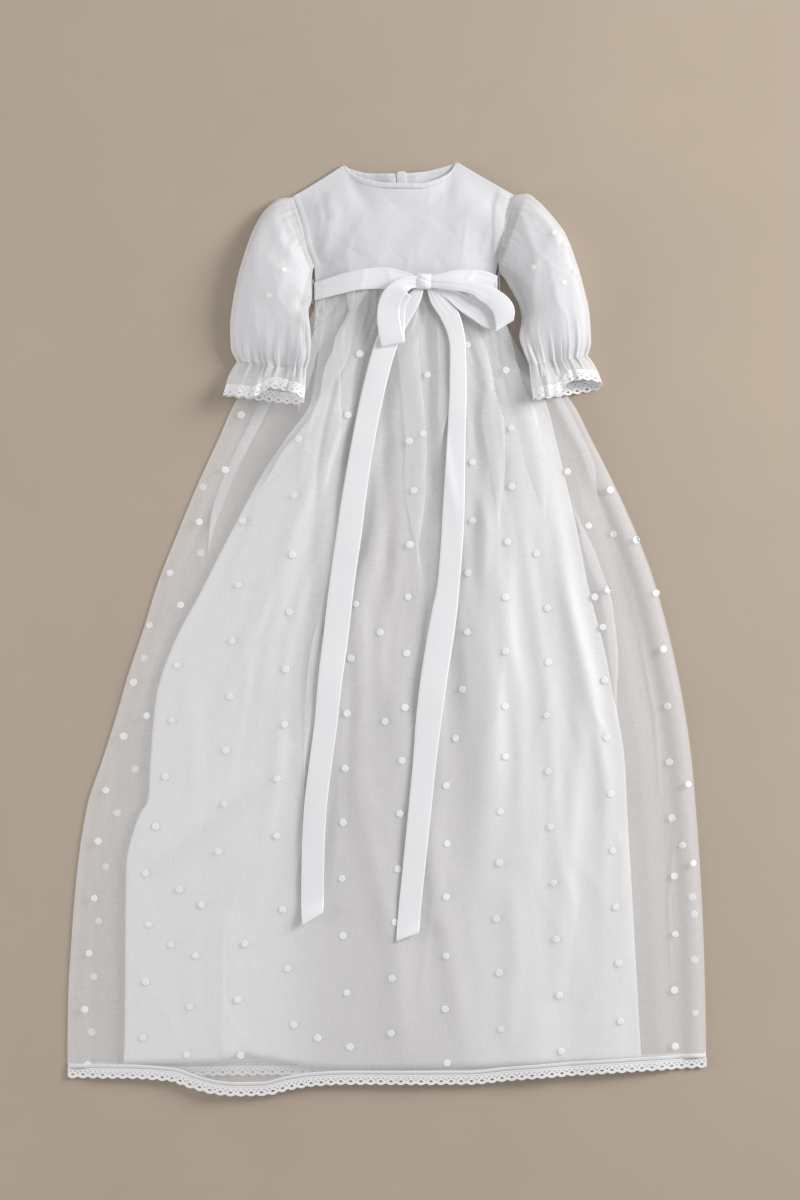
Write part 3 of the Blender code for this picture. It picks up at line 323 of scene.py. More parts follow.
LOOP_LEFT = table(
    "x y over wide aim",
    (27.8, 344.2, 5.5, 12, 272), (22, 343.2, 7, 13, 280), (16.5, 340.4, 8.2, 15, 294),
    (11, 336.4, 8.8, 17.5, 310), (6.2, 330.8, 8.8, 19.5, 326), (3, 324, 8.6, 21, 344),
    (1.4, 316, 8.2, 22, 358), (1.3, 308, 7.8, 22.5, 366), (2.2, 300, 7.4, 23, 370),
    (3.6, 292.5, 7, 23.4, 371), (5.2, 286, 6.5, 23.5, 371), (5.9, 282.8, 6.2, 23.5, 371),
    (6.2, 281.6, 5.5, 23.5, 371), (6.3, 281.2, 4.8, 23.5, 371), (6.2, 281.6, 4.1, 23.5, 371),
    (6.1, 282.8, 3.4, 23.5, 371), (6, 286, 2.8, 23.4, 371), (6, 291, 2.7, 23, 370),
    (6.6, 303, 2.7, 22, 364), (8.6, 315, 2.7, 19, 350), (13, 325.5, 2.7, 15, 330),
    (20, 333.6, 2.7, 11, 312),
)
TAIL_LEFT = table(
    "x y wide aim",
    (32, 333.6, 9, 350), (22, 321.5, 18, 338), (9.5, 304, 22, 334), (-1.9, 278.8, 22.6, 340),
    (-12.6, 240, 22.6, 345), (-21.4, 197.8, 22.6, 348), (-30.6, 145, 23.5, 350), (-37.8, 92.8, 25, 352),
    (-45, 42, 25, 352), (-51.4, -12.2, 25, 353), (-56.4, -52, 24, 353), (-60.4, -92.2, 22.8, 352),
    (-66, -135, 22.6, 353), (-71.1, -177.2, 22.6, 354), (-73.6, -223.2, 22.6, 357),
    (-74.2, -260, 22.4, 360), (-74.1, -290.5, 24, 393),
)
TAIL_RIGHT = table(
    "x y wide aim",
    (44, 334.6, 9, 14), (52, 324, 16, 22), (62, 311, 19, 20), (67.6, 296, 17, 12), (70.4, 278.8, 16, 5),
    (70.6, 240, 17, 2), (69.2, 197.8, 18, -2), (67.4, 150, 20, -4), (65.8, 107.8, 21.8, -5),
    (61.7, 47.8, 22, -7), (57.4, 17, 25, -10), (52.7, -12.2, 26.5, -10), (46.8, -50, 26.5, -10),
    (41.5, -92.2, 25.5, -9), (36.6, -142.2, 23, -8), (29.6, -212.2, 22.6, -6), (22.4, -283.2, 22.2, -5),
    (20.5, -308, 24, 22),
)
WAIST_Y, HEM_Y = 345.0, -440.0
HEM_HALF = 319.0
PUFF = table("down height", (0, 5.4), (110, 8), (210, 7.6), (330, 4.6), (500, 2), (800, 0.8))
BUTTON = {"x": 15.4, "y": 451.0, "radius": 4.5, "height": 2.0}
NECK_BINDING = 5.0
NECK_FROM, NECK_TO = 0.25, 0.75
SLIT_X, SLIT_HALF, SLIT_PART, SLIT_EASE = 9.2, 0.4, 0.48, 0.16
SIDE_SHARE = 0.32
CUFF_ENDS = {
    "left": {"outer": (-150.0, 265.6), "inner": (-80.0, 256.6)},
    "right": {"outer": (200.4, 271.4), "inner": (141.4, 261.6)},
}


def waist_y(x):
    return curve(x, WAIST["x"], WAIST["y"])


def edges_at(edges, y):
    """Where a panel's left and right edges are, at a height."""
    return curve(y, edges["y"], edges["left"]), curve(y, edges["y"], edges["right"])


def across_skirt(x, y):
    """Where a place is across the overskirt: 0 on its left edge and 1 on its right edge."""
    left, right = edges_at(OVERSKIRT, y)
    return np.clip((x - left) / (right - left), 0, 1)


def skirt_grid(edges, across, hem, share_down):
    """The x and y of a skirt panel's points, in rows from the waist seam down to its own hem."""
    down = share_down[:, None]
    at = np.asarray(across)[None, :]
    top_x = edges["left"][0] + (edges["right"][0] - edges["left"][0]) * at
    hem_left, hem_right = edges_at(edges, HEM_Y)
    hem_x = hem_left + (hem_right - hem_left) * at
    top = waist_y(top_x) - SEAM / 2
    y = top + (curve(hem_x, HEM["x"], hem) - top) * down
    left = curve(y[:, :1], edges["y"], edges["left"])
    right = curve(y[:, -1:], edges["y"], edges["right"])
    return left + (right - left) * at, y


def back_lift(x, y):
    """How far the back lies off the surface, over the sash's back stretch and over the button."""
    from_sash = np.abs(y - waist_y(x))
    from_button = np.hypot(x - BUTTON["x"], y - BUTTON["y"])
    over_sash = (RIBBON + SEAM) * (1 - ramp(from_sash, 13.0, 34.0))
    over_button = (BUTTON["height"] + SEAM) * (1 - ramp(from_button, 12.0, 32.0))
    return np.maximum(over_sash, over_button)


def lining_under(x, y):
    """The underside of the lining's front: its puff and its large soft folds, over the back."""
    across, down = across_skirt(x, y), WAIST_Y - y
    side = within(across, 0.03, 0.30)
    height = np.zeros(np.broadcast(x, across, down).shape)
    for upper, lower, top, bottom, half_width, tall in zip(*FOLDS.values()):
        along = np.clip((down - top) / (bottom - top), 0, 1)
        off = (across - (upper + (lower - upper) * along)) * (180 + 0.57 * down)
        start = ramp(down, top - 60, top + 60)
        end = ramp(down, bottom - 80, bottom + 40)
        height = np.maximum(height, tall * start * (1 - end) * hump(off, 0, half_width * 1.6))
    return back_lift(x, y) + 2 * FRONT + side * curve(down, PUFF["down"], PUFF["height"]) + height


def overskirt_under(x, y):
    """The underside of the overskirt's front, without its gathers: over the lining, and down to its sides."""
    across = across_skirt(x, y)
    wide = curve(y, OVERSKIRT["y"], OVERSKIRT["right"] - OVERSKIRT["left"])
    lining_left, lining_right = (across_skirt(x_edge, y) for x_edge in edges_at(LINING, y))
    fall = np.minimum(26.0 / wide, 0.06)
    rise = 1.0
    for place, edge in ((across, lining_left), (1 - across, 1 - lining_right)):
        rise = rise * ramp(place, np.maximum(edge - 0.022 - fall, 0), edge - 0.022)
    body_height = lining_under(x, y) + CLOTH + LAYER
    side_height = back_lift(x, y) + FRONT
    return side_height + rise * (body_height - side_height)


# ---------------- what lies where


def tree_of(obj):
    mesh = obj.data
    return BVHTree.FromPolygons([v.co for v in mesh.vertices], [p.vertices[:] for p in mesh.polygons])


def solid(name):
    """The surface of one of the frame's solids."""
    return tree_of(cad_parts[name])


ABOVE_ALL = 0.2  # metres over the surface, clear of the whole gown


def height_on(tree, x, y):
    """The height, in mm, at which a plumb line first meets a surface, or its nearest place beside it."""
    x, y = np.broadcast_arrays(x, y)
    found = np.empty(x.shape)
    for i, (at_x, at_y) in enumerate(zip(x.flat, y.flat)):
        hit = tree.ray_cast((at_x * MM, at_y * MM, ABOVE_ALL), (0, 0, -1))[0]
        if hit is None:
            hit = tree.find_nearest((at_x * MM, at_y * MM, 10 * MM))[0]
        found.flat[i] = hit.z / MM
    return found


def relief(x, y, strokes):
    """The height of creases: each has a half width, a height and the points of its line, in mm."""
    place = np.stack(np.broadcast_arrays(x, y), axis=-1)
    total = np.zeros(place.shape[:-1])
    for half_width, height, *line in strokes:
        line = np.array(line, float).reshape(-1, 2)
        part = np.diff(line, axis=0)
        length = np.linalg.norm(part, axis=1)
        run = np.concatenate([[0], np.cumsum(length)])
        best = np.full(total.shape, 1e9)
        along = np.zeros(total.shape)
        for k, (start, step, size) in enumerate(zip(line, part, length)):
            t = np.clip(((place - start) @ step) / size**2, 0, 1)
            off = np.linalg.norm(place - start - t[..., None] * step, axis=-1)
            nearer = off < best
            best = np.where(nearer, off, best)
            along = np.where(nearer, (run[k] + t * size) / run[-1], along)
        ends = np.clip(4 * along * (1 - along), 0, 1) ** 0.6
        total = total + height * ends * bell(best, half_width)
    return total


def scattered(count, box, aim, spread, lengths, half_widths, heights, seed):
    """Creases strewn over a box, their directions, in degrees, spread round one."""
    draw = np.random.default_rng(seed)
    strokes = []
    for _ in range(count):
        x, y = draw.uniform(box[0], box[1]), draw.uniform(box[2], box[3])
        angle = math.radians(aim + draw.normal(0, spread))
        reach = draw.uniform(*lengths) / 2
        bend = draw.uniform(-0.25, 0.25) * reach
        dx, dy = math.cos(angle), math.sin(angle)
        strokes.append((
            draw.uniform(*half_widths), draw.uniform(*heights),
            x - reach * dx, y - reach * dy, x - bend * dy, y + bend * dx, x + reach * dx, y + reach * dy,
        ))
    return strokes


# ---------------- pieces


def piece(name, vertices, faces, material, nodes=(), cloth=None):
    """A piece of the gown, its points in mm, which rides on the gown and stands for the named nodes."""
    mesh = bpy.data.meshes.new(name)
    mesh.from_pydata((np.asarray(vertices) * MM).tolist(), [], faces)
    mesh.materials.append(material)
    if cloth is not None:
        attribute = mesh.attributes.new("cloth", "FLOAT_VECTOR", "POINT")
        attribute.data.foreach_set("vector", (np.asarray(cloth) * MM).astype(np.float32).ravel())
    mesh.shade_smooth()
    made = bpy.data.objects.new(name, mesh)
    bpy.context.scene.collection.objects.link(made)
    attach(made, "root")
    if nodes:
        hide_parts(*nodes)
    return made


def quads(rows, columns, wrap):
    """The faces of a grid, facing along its rows' direction x its columns' direction."""
    at = np.arange(rows * columns).reshape(rows, columns)
    if wrap:
        at = np.concatenate([at, at[:, :1]], axis=1)
    return np.stack([at[:-1, :-1], at[1:, :-1], at[1:, 1:], at[:-1, 1:]], axis=-1).reshape(-1, 4), at


def run_of(grid):
    """How far each point of a grid is along its row and down its column: the cloth's own coordinates."""
    across = np.zeros(grid.shape[:2])
    down = np.zeros(grid.shape[:2])
    across[:, 1:] = np.cumsum(np.linalg.norm(np.diff(grid, axis=1), axis=2), axis=1)
    down[1:] = np.cumsum(np.linalg.norm(np.diff(grid, axis=0), axis=2), axis=0)
    across -= across[:, -1:] / 2
    return points(across, down, 0.0)


def normals_of(grid, wrap):
    padded = np.concatenate([grid[:, -1:], grid, grid[:, :1]], axis=1) if wrap else grid
    across = np.gradient(padded, axis=1)
    down = np.gradient(padded, axis=0)
    found = unit(np.cross(down, across))
    return found[:, 1:-1] if wrap else found


def lay(name, grid, material, nodes=(), thick=0.0, wrap=False):
    """Cloth through a grid of rows x columns points: one surface, or a closed wall `thick` mm below it."""
    rows, columns = grid.shape[:2]
    faces, at = quads(rows, columns, wrap)
    vertices, cloth = grid.reshape(-1, 3), run_of(grid).reshape(-1, 3)
    if thick:
        count = len(vertices)
        under = (grid - normals_of(grid, wrap) * thick).reshape(-1, 3)
        if wrap:
            rims = [at[0], at[-1, ::-1]]
        else:
            rims = [np.array([*at[0, :-1], *at[:-1, -1], *at[-1, :0:-1], *at[:0:-1, 0], at[0, 0]])]
        sides = [np.stack([r[:-1], r[1:], r[1:] + count, r[:-1] + count], axis=1) for r in rims]
        faces = np.concatenate([faces, faces[:, ::-1] + count, *sides])
        vertices, cloth = np.concatenate([vertices, under]), np.concatenate([cloth, cloth])
    return piece(name, vertices, faces.tolist(), material, nodes, cloth)


def ribbon(name, node_name, middle, width, aim, across, form):
    """A strip of satin along the points of its middle line.

    aim is the direction, in degrees in the x-y plane, that its width points in at each of them, and form
    gives how far each point stands off it, from the place along it and across it (-1 to 1).
    """
    angle = np.radians(aim)
    side = points(np.cos(angle), np.sin(angle), 0.0)
    out = unit(np.cross(np.gradient(middle, axis=0), side))
    t = np.linspace(-1, 1, across)
    grid = middle[:, None] + side[:, None] * (t[None, :, None] * np.asarray(width)[:, None, None] / 2)
    share = np.linspace(0, 1, len(middle))[:, None]
    grid = grid + out[:, None] * form(share, t[None, :])[..., None]
    lay(name, grid + out[:, None] * SATIN_WALL / 2, SATIN, (node_name,), SATIN_WALL)


def cut_pattern(field, surface, u, v):
    """The vertices, faces and cloth coordinates of the part of a flat grid where `field` is over 0."""
    rows, columns = field.shape
    at = np.arange(rows * columns).reshape(rows, columns)
    a, b, c, d = at[:-1, :-1].ravel(), at[1:, :-1].ravel(), at[1:, 1:].ravel(), at[:-1, 1:].ravel()
    value = field.ravel()
    place = np.stack(np.broadcast_arrays(u, v), axis=-1).reshape(-1, 2)
    corners = np.concatenate([np.stack([a, b, c], 1), np.stack([a, c, d], 1)])
    inside = (value[corners] > 0).sum(1)
    whole = corners[inside == 3]
    made, cuts, extra = [], {}, []
    for face in corners[(inside > 0) & (inside < 3)].tolist():
        polygon = []
        for p, q in zip(face, face[1:] + face[:1]):
            if value[p] > 0:
                polygon.append(p)
            if (value[p] > 0) != (value[q] > 0):
                key = (min(p, q), max(p, q))
                if key not in cuts:
                    share = value[key[0]] / (value[key[0]] - value[key[1]])
                    share = min(max(share, 0.04), 0.96)
                    cuts[key] = len(value) + len(extra)
                    extra.append(place[key[0]] + share * (place[key[1]] - place[key[0]]))
                polygon.append(cuts[key])
        made.append(polygon)
    place = np.concatenate([place, extra]) if extra else place
    faces = whole.tolist() + made
    used = np.zeros(len(place), bool)
    for face in faces:
        used[face] = True
    number = np.cumsum(used) - 1
    faces = [[int(number[i]) for i in face] for face in faces]
    place = place[used]
    top, normal = surface(place[:, 0], place[:, 1])
    count = len(place)
    edges = {}
    for face in faces:
        for p, q in zip(face, face[1:] + face[:1]):
            edges[(p, q)] = True
    rim = [(p, q) for p, q in edges if (q, p) not in edges]
    faces = faces + [[i + count for i in face[::-1]] for face in faces]
    faces += [[q, p, p + count, q + count] for p, q in rim]
    vertices = np.concatenate([top, top - normal * LACE_WALL])
    cloth = np.column_stack([place, np.zeros(count)])
    return vertices, faces, np.concatenate([cloth, cloth])


# The eyelets of a repeat of lace: how many, where the first is along it, how far above the edge, half sizes.
HEM_EYELETS = [
    (1, 0.5, 3.9, 1.75, 0.95), (1, 0, 5.2, 0.9, 0.6), (2, 0.25, 6.7, 0.75, 0.55), (4, 0.125, 9, 0.55, 0.4),
]
CUFF_EYELETS = [
    (1, 0.5, 3.4, 1.75, 0.9), (1, 0.0, 5.4, 0.85, 0.6), (2, 0.25, 7.4, 0.7, 0.55), (1, 0.5, 9.6, 0.8, 0.55),
]
HEM_LACE_WIDTH, CUFF_LACE_WIDTH = 10.6, 12.0
BODICE_WALL, LACE_WALL, SATIN_WALL = 0.45, 0.5, 0.4


def lace(name, node_name, length, width, surface, cell, eyelets):
    """Scalloped lace, cut through between its threads. surface gives the points and normals of its top."""
    repeats = max(1, round(length / 10))
    pitch = length / repeats
    u = np.linspace(0, length, repeats * round(pitch / cell) + 1)[None, :]
    v = np.linspace(0, width + 0.2, round(width / cell) + 1)[:, None]
    turn = u / pitch
    scallop = width - 1.5 * np.abs(np.cos(math.pi * turn)) ** 3.2
    picot = 0.35 * np.abs(np.cos(5 * math.pi * turn)) ** 0.7
    field = scallop - 0.4 + picot - v
    for count, first, above, half_long, half_deep in eyelets:
        off = (np.mod((turn - first) * count + 0.5, 1) - 0.5) * pitch / count
        size = np.hypot(off / half_long, (v - (width - above)) / half_deep)
        field = np.minimum(field, (size - 1) * min(half_long, half_deep))
    vertices, faces, cloth = cut_pattern(field, surface, u, v)
    piece(name, vertices, faces, LACE, (node_name,), cloth)


def stitches(name, line, lift, gap, long):
    """A row of stitches along a line of points: short rounded bars, each sunk a little at its ends."""
    radius, sides = 0.16, 6
    run = run_along(line)
    vertices, faces = [], []
    for start in np.arange(gap / 2, run[-1] - long, gap + long):
        stops = [start + long * share for share in (0, 0.3, 0.7, 1)]
        bar = [np.array([np.interp(stop, run, line[:, k]) for k in range(3)]) for stop in stops]
        side = unit(np.cross(unit(bar[-1] - bar[0]), (0, 0, 1.0)))
        base = len(vertices)
        for step, place in enumerate(bar):
            at_end = step in (0, 3)
            size = radius * (0.55 if at_end else 1.0)
            rise = lift - (0.25 * radius if at_end else 0.0)
            for k in range(sides):
                angle = 2 * math.pi * k / sides
                up = np.array((0, 0, rise + size * math.sin(angle)))
                vertices.append(place + side * size * math.cos(angle) + up)
            if step:
                for k in range(sides):
                    p, q = base + (step - 1) * sides + k, base + (step - 1) * sides + (k + 1) % sides
                    faces.append((p, q, q + sides, p + sides))
        faces.append(tuple(base + k for k in range(sides))[::-1])
        faces.append(tuple(base + 3 * sides + k for k in range(sides)))
    piece(name, vertices, faces, THREAD_WHITE)


def dots(name, places, tree, lift, radius, tall=0.14):
    """Small embroidered tufts that follow the cloth they are worked on."""
    sides = 26
    centres = np.array(places).reshape(-1, 2)
    draw = np.random.default_rng(len(centres))
    vertices, faces = [], []
    for cx, cy in centres:
        turn, size = draw.uniform(0, 2 * math.pi), radius * draw.uniform(0.9, 1.06)
        base = len(vertices)
        rings = []
        for share, height in ((1.0, 0.0), (0.95, 0.8), (0.7, 1.0)):
            angle = turn + 2 * math.pi * np.arange(sides) / sides
            uneven = 0.03 * np.cos(5 * (angle - turn)) + 0.018 * draw.standard_normal(sides)
            reach = size * share * (1 + uneven)
            x, y = cx + reach * np.cos(angle), cy + reach * np.sin(angle)
            ground = height_on(tree, x, y)
            rings.append(points(x, y, ground + lift + tall * height))
        centre = float(height_on(tree, cx, cy)) + lift
        vertices += [p for ring in rings for p in ring]
        vertices += [np.array((cx, cy, centre + tall)), np.array((cx, cy, centre))]
        for k in range(sides):
            n = (k + 1) % sides
            for r in (0, 1):
                p, q = base + r * sides + k, base + r * sides + n
                faces.append((p, q, q + sides, p + sides))
            faces.append((base + 2 * sides + k, base + 2 * sides + n, base + 3 * sides))
            faces.append((base + n, base + k, base + 3 * sides + 1))
    piece(name, vertices, faces, TUFT, cloth=vertices)


COTTON = fabric(
    "batiste", (0.775, 0.78, 0.82), 0.85, thread=0.35, weave=0.15, shade=0.025, crumple=0.5, Sheen_Weight=0.15
)
ORGANZA = fabric(
    "organza", (0.965, 0.97, 0.995), 0.55, thread=0.4, weave=0.15, shade=0.02, alpha=0.40, uneven=0.03,
    Sheen_Weight=0.25,
)
SLEEVE_ORGANZA = fabric(
    "sleeve_organza", (0.91, 0.915, 0.95), 0.6, thread=0.4, weave=0.15, shade=0.02, alpha=0.62, uneven=0.04,
    Sheen_Weight=0.25,
)
# The petticoat's middle colour is painted shade, greyer than its sides.
PETTICOAT = fabric(
    "petticoat_lawn", (0.87, 0.87, 0.885), 0.85, thread=0.35, weave=0.12, shade=0.02, crumple=0.4,
    middle=(0.67, 0.66, 0.66), Sheen_Weight=0.1
)
LACE = fabric("lace_thread", (0.92, 0.925, 0.955), 0.85, thread=0.5, weave=0.35, shade=0.03, Sheen_Weight=0.1)
SATIN = fabric(
    "satin", (0.925, 0.94, 0.985), 0.27, thread=0.3, weave=0.06, shade=0.015, Sheen_Weight=0.15,
    Anisotropic=0.4,
)
TUFT = fabric("embroidery", (0.93, 0.935, 0.965), 0.8, thread=0.5, weave=0.35, shade=0.03, Sheen_Weight=0.2)
THREAD_WHITE = mottled("sewing_thread", (0.76, 0.77, 0.81), (0.82, 0.83, 0.87), 0.7, 900.0)
PEARL = mottled("pearl_button", (0.80, 0.81, 0.83), (0.88, 0.87, 0.85), 0.22, 160.0, Coat_Weight=0.4)

ORIGIN_X, ORIGIN_Y = 387.1, 627.8  # the gown's origin on a 1 mm grid that starts at the top left


def px(*places):
    """Places given on that grid, as x and y in the gown's frame."""
    flat = np.array(places, float).reshape(-1, 2)
    return tuple(np.column_stack([flat[:, 0] - ORIGIN_X, ORIGIN_Y - flat[:, 1]]).ravel())


def strokes(sizes, *rows):
    """Lines given as rows of numbers: first this many sizes, then the line's places on px's grid."""
    return [(*row[:sizes], *px(*row[sizes:])) for row in rows]


# ---------------- skirt

# The overskirt's fine gathers under the waist seam.
GATHERS = 31
gather_fade = random.uniform(14, 62, GATHERS + 1)
gather_depth = random.uniform(0.7, 1.15, GATHERS + 1)
# Its laid pleats: half width at the top and bottom, height, and the middle line, from the waist down.
PLEATS = strokes(
    3,
    (4.6, 4, 1.5, 322, 300, 318, 335, 308, 370, 298, 402, 286, 440),
    (6, 8.2, 2.3, 349, 290, 344, 325, 333, 360, 319, 397, 303, 430, 286, 458, 262, 490, 238, 526),
    (6.4, 5.2, 2.5, 366, 290, 357, 318, 348, 342, 339, 364, 330, 397, 318, 428, 307, 462, 290, 520),
    (4.2, 6, 2, 356, 330, 351, 352, 346, 383, 340, 412, 333, 452, 324, 500),
    (8.8, 8.8, 2.8, 407, 285, 408, 350, 411, 383, 414, 418, 416, 450, 415, 480, 417, 540, 420, 600),
    (6, 5.5, 2.2, 437, 285, 442, 312, 444, 340, 445, 380, 443, 430, 441, 470),
    (4.4, 5, 2, 462, 300, 475, 335, 483, 360, 489, 392, 492, 424, 497, 462, 503, 510),
    (6.6, 10.5, 2.4, 488, 300, 500, 333, 507, 360, 516, 392, 525, 420, 532, 450, 540, 482, 548, 545),
    (4.4, 4.4, 1.8, 500, 300, 511, 333, 521, 360, 532, 390, 542, 418, 548, 450),
    (4, 4.6, 1.5, 544, 370, 557, 398, 572, 428, 588, 462, 602, 512),
    (3.6, 3, 0.9, 337, 527, 323, 612, 314, 655, 308, 717, 305, 760, 300, 812),
    (4.6, 3.8, 1, 569, 495, 592, 560, 606, 600, 613, 660, 617, 740),
    (5.5, 3.5, 1, 304, 338, 287, 365, 270, 394, 258, 418, 237, 460, 223, 492, 215, 516, 209, 548, 203, 588),
    (3.4, 3.6, 0.9, 487, 385, 491, 440, 497, 486, 499, 540),
)
# The lining's own hollows between its gathers: half width, depth, line.
HOLLOWS = strokes(
    2,
    (5, -5, 384, 262, 376, 300, 369, 328, 363, 356, 359, 388, 352, 432, 346, 480),
    (8.5, -5.5, 396, 262, 394, 310, 391, 350, 386, 395, 384, 430, 386, 480, 388, 560, 386, 640),
    (6.5, -6, 420, 262, 424, 300, 428, 340, 431, 372, 432, 410, 431, 450, 436, 500),
    (4, -4, 345, 335, 339, 365, 334, 388, 326, 430, 319, 470, 312, 520),
    (8, -5, 462, 290, 470, 330, 474, 370, 477, 410, 478, 470, 475, 540, 474, 620),
    (4, -3.5, 484, 310, 490, 350, 493, 380, 495, 411, 499, 450, 505, 500),
    (6, -4.5, 340, 270, 330, 308, 325, 340, 314, 372, 301, 400, 286, 430, 268, 460),
    (9, -2.5, 322, 420, 316, 480, 312, 560, 310, 640, 300, 740),
    (4, -3, 512, 310, 528, 350, 544, 386, 556, 420, 566, 470),
)
# Soft ridges that the overskirt and its lining share: half width, height, line.
SHARED = strokes(
    2,
    (13, 3.6, 150, 868, 200, 825, 240, 790, 294, 742), (12, 2.6, 355, 760, 372, 850, 395, 950, 402, 1062),
    (11, 2.4, 425, 720, 428, 840, 450, 960, 468, 1062), (13, 3, 500, 560, 496, 680, 484, 790, 478, 905),
    (11, 2.6, 560, 560, 585, 700, 566, 860, 556, 1000), (10, 2.2, 512, 880, 516, 960, 506, 1050),
    (10, 1.5, 300, 520, 272, 640, 262, 760), (12, 1.4, 360, 560, 330, 660, 322, 760),
    (12, 1.5, 612, 760, 622, 880, 626, 1000), (9, 1.2, 196, 880, 190, 960, 196, 1050),
)
FINE = scattered(70, (-250, 250, -420, 230), 82, 22, (50, 170), (3.5, 8.0), (0.25, 0.7), 5)


def fan_folds(count, seed):
    """Long soft folds that fall from the waist and spread as the skirt widens."""
    draw = np.random.default_rng(seed)
    strokes = []
    for place in (np.arange(count) + draw.uniform(0.15, 0.85, count)) / count:
        upper = draw.uniform(120, 290)
        lower = upper - draw.uniform(240, 520)
        line = []
        for y in np.linspace(upper, max(lower, -415), 6):
            left, right = edges_at(LINING, y)
            line += [left + (right - left) * (0.04 + 0.92 * place) + draw.normal(0, 3.0), y]
        strokes.append((draw.uniform(4.5, 11.0), draw.uniform(0.7, 1.9), *line))
    return strokes


FAN = fan_folds(22, 3) + fan_folds(15, 8)
OVERSKIRT_CREASES = strokes(
    2,
    (2.6, 1.3, 306, 735, 303, 850, 285, 897, 255, 944),
    (2.4, 1.2, 223, 1062, 223, 932, 238, 885, 262, 842), (2.6, 1, 170, 604, 190, 560, 216, 518),
    (2.6, 1, 124, 704, 140, 684, 167, 658), (2.8, 1.2, 584, 538, 592, 562, 607, 592),
    (2.4, 1.1, 589, 698, 598, 722, 613, 742), (2.2, 0.9, 110, 760, 128, 742, 150, 735),
    (2.4, 0.9, 90, 850, 104, 900, 98, 960), (2.4, 0.9, 640, 640, 655, 720, 660, 800),
    (2.2, 0.9, 676, 820, 668, 900, 672, 990),
)
EDGE_Z = 1.35  # where a front panel's side edge meets its back's


def shared_relief(x, y):
    side = within(across_skirt(x, y), 0.02, 0.12)
    ends = ramp(WAIST_Y - y, 60, 140)
    return (relief(x, y, SHARED) + relief(x, y, FINE) + relief(x, y, FAN)) * side * ends


def overskirt_front():
    columns, rows = 381, 176
    at = np.linspace(0, 1, columns)
    share = np.linspace(0, 1, rows) ** 1.35
    x, y = skirt_grid(OVERSKIRT, at, HEM["front"], share)
    down = WAIST_Y - y
    ends = within(at, 0.0, 0.04)
    wide = x[:, -1:] - x[:, :1]
    turn = at * GATHERS + 0.35 * wave(3.3 * at) + 0.22 * wave(8.1 * at, 1)
    pitch = wide * np.gradient(at) / np.gradient(turn)
    which = np.clip(turn, 0, GATHERS)
    fade = np.exp(-((np.maximum(down, 0) / np.interp(which, range(GATHERS + 1), gather_fade)) ** 1.3))
    depth = np.interp(which, range(GATHERS + 1), gather_depth) * fade * ends
    lap = 1.9 * depth * pitch / (2 * math.pi)
    moved = x + lap * wave(turn)
    z = overskirt_under(x, y) + 0.6 + 1.9 * depth * (0.5 + 0.5 * wave(turn))
    for top_half, low_half, height, *line in PLEATS:
        line_x, line_y = np.array(line).reshape(-1, 2).T
        fall = np.clip((line_y[0] - y) / (line_y[0] - line_y[-1]), -1, 1)
        start = 1.0 if line_y[0] > 320 else ramp(fall, 0.0, 0.25)
        strength = start * (1 - ramp(fall, 0.62, 1.0))
        half = top_half + (low_half - top_half) * np.clip(fall, 0, 1)
        s = (x - curve(y, line_y, line_x)) / half
        moved = moved - 2.1 * half * strength * s * np.exp(0.5 - 0.5 * s**2) * ends
        layer = 0.8 * height * strength**0.45 * np.exp(-(s**2) / 8)
        z = z + layer * (0.5 - 0.5 * np.tanh(1.6 * s)) * ends
    z = z + shared_relief(x, y) + relief(x, y, OVERSKIRT_CREASES)
    # The free sides stand in a soft roll just inside their edges.
    inward = np.minimum(at, 1 - at) * wide
    z = z + 2.6 * hump(inward, 13.0, 13.0) * ramp(down, 90, 200)
    edge = within(at, 0.0, 0.012)
    z = EDGE_Z + back_lift(x, y) + (z - EDGE_Z - back_lift(x, y)) * edge
    return lay("overskirt_front", points(moved, y, z), ORGANZA, ("skirt_front",))


def flat_panel(name, node_name, edges, hem, columns, rows, height, material, thick=0.0):
    """A skirt panel without laps: x and y from its edges, and its top's height from `height`."""
    x, y = skirt_grid(edges, np.linspace(0, 1, columns), hem, np.linspace(0, 1, rows) ** 1.2)
    return lay(name, points(x, y, height(x, y)), material, (node_name,), thick)


def petticoat_top(x, y):
    """The lining's front, its own small gathers held in under the waist seam."""
    across = across_skirt(x, y)
    down = WAIST_Y - y
    turn = 17 * across + 0.4 * wave(2.7 * across) + 0.2 * wave(6.3 * across)
    gathers = -1.5 * np.exp(-np.maximum(down, 0) / 120) * (0.5 - 0.5 * wave(turn)) ** 1.5
    side = within(across, 0.03, 0.1)
    hollows = np.maximum(relief(x, y, HOLLOWS), -6.5)
    height = lining_under(x, y) + CLOTH + (1.3 + gathers + hollows) * side
    # It stays below the overskirt where that falls to its sides.
    over = np.min([overskirt_under(x + dx, y) for dx in (-9.0, -4.5, 0.0, 4.5, 9.0)], axis=0) - 0.1
    return np.maximum(np.minimum(height, over), petticoat_back_top(x, y) + 0.6) + shared_relief(x, y)


def petticoat_back_top(x, y):
    return back_lift(x, y) + FRONT + CLOTH


def overskirt_back_top(x, y):
    """The back lies flat: its gathers show only as low ripples inside the cloth's wall."""
    across = across_skirt(x, y)
    down = WAIST_Y - y
    ripple = 0.4 * np.exp(-np.maximum(down, 0) / 90) * (1 + wave(28 * across))
    lift = back_lift(x, y)
    flat = lift + 0.35 + ripple + 0.15 * relief(x, y, FINE)
    return lift + EDGE_Z - 0.05 + (flat - lift - EDGE_Z + 0.05) * within(across, 0.0, 0.012)


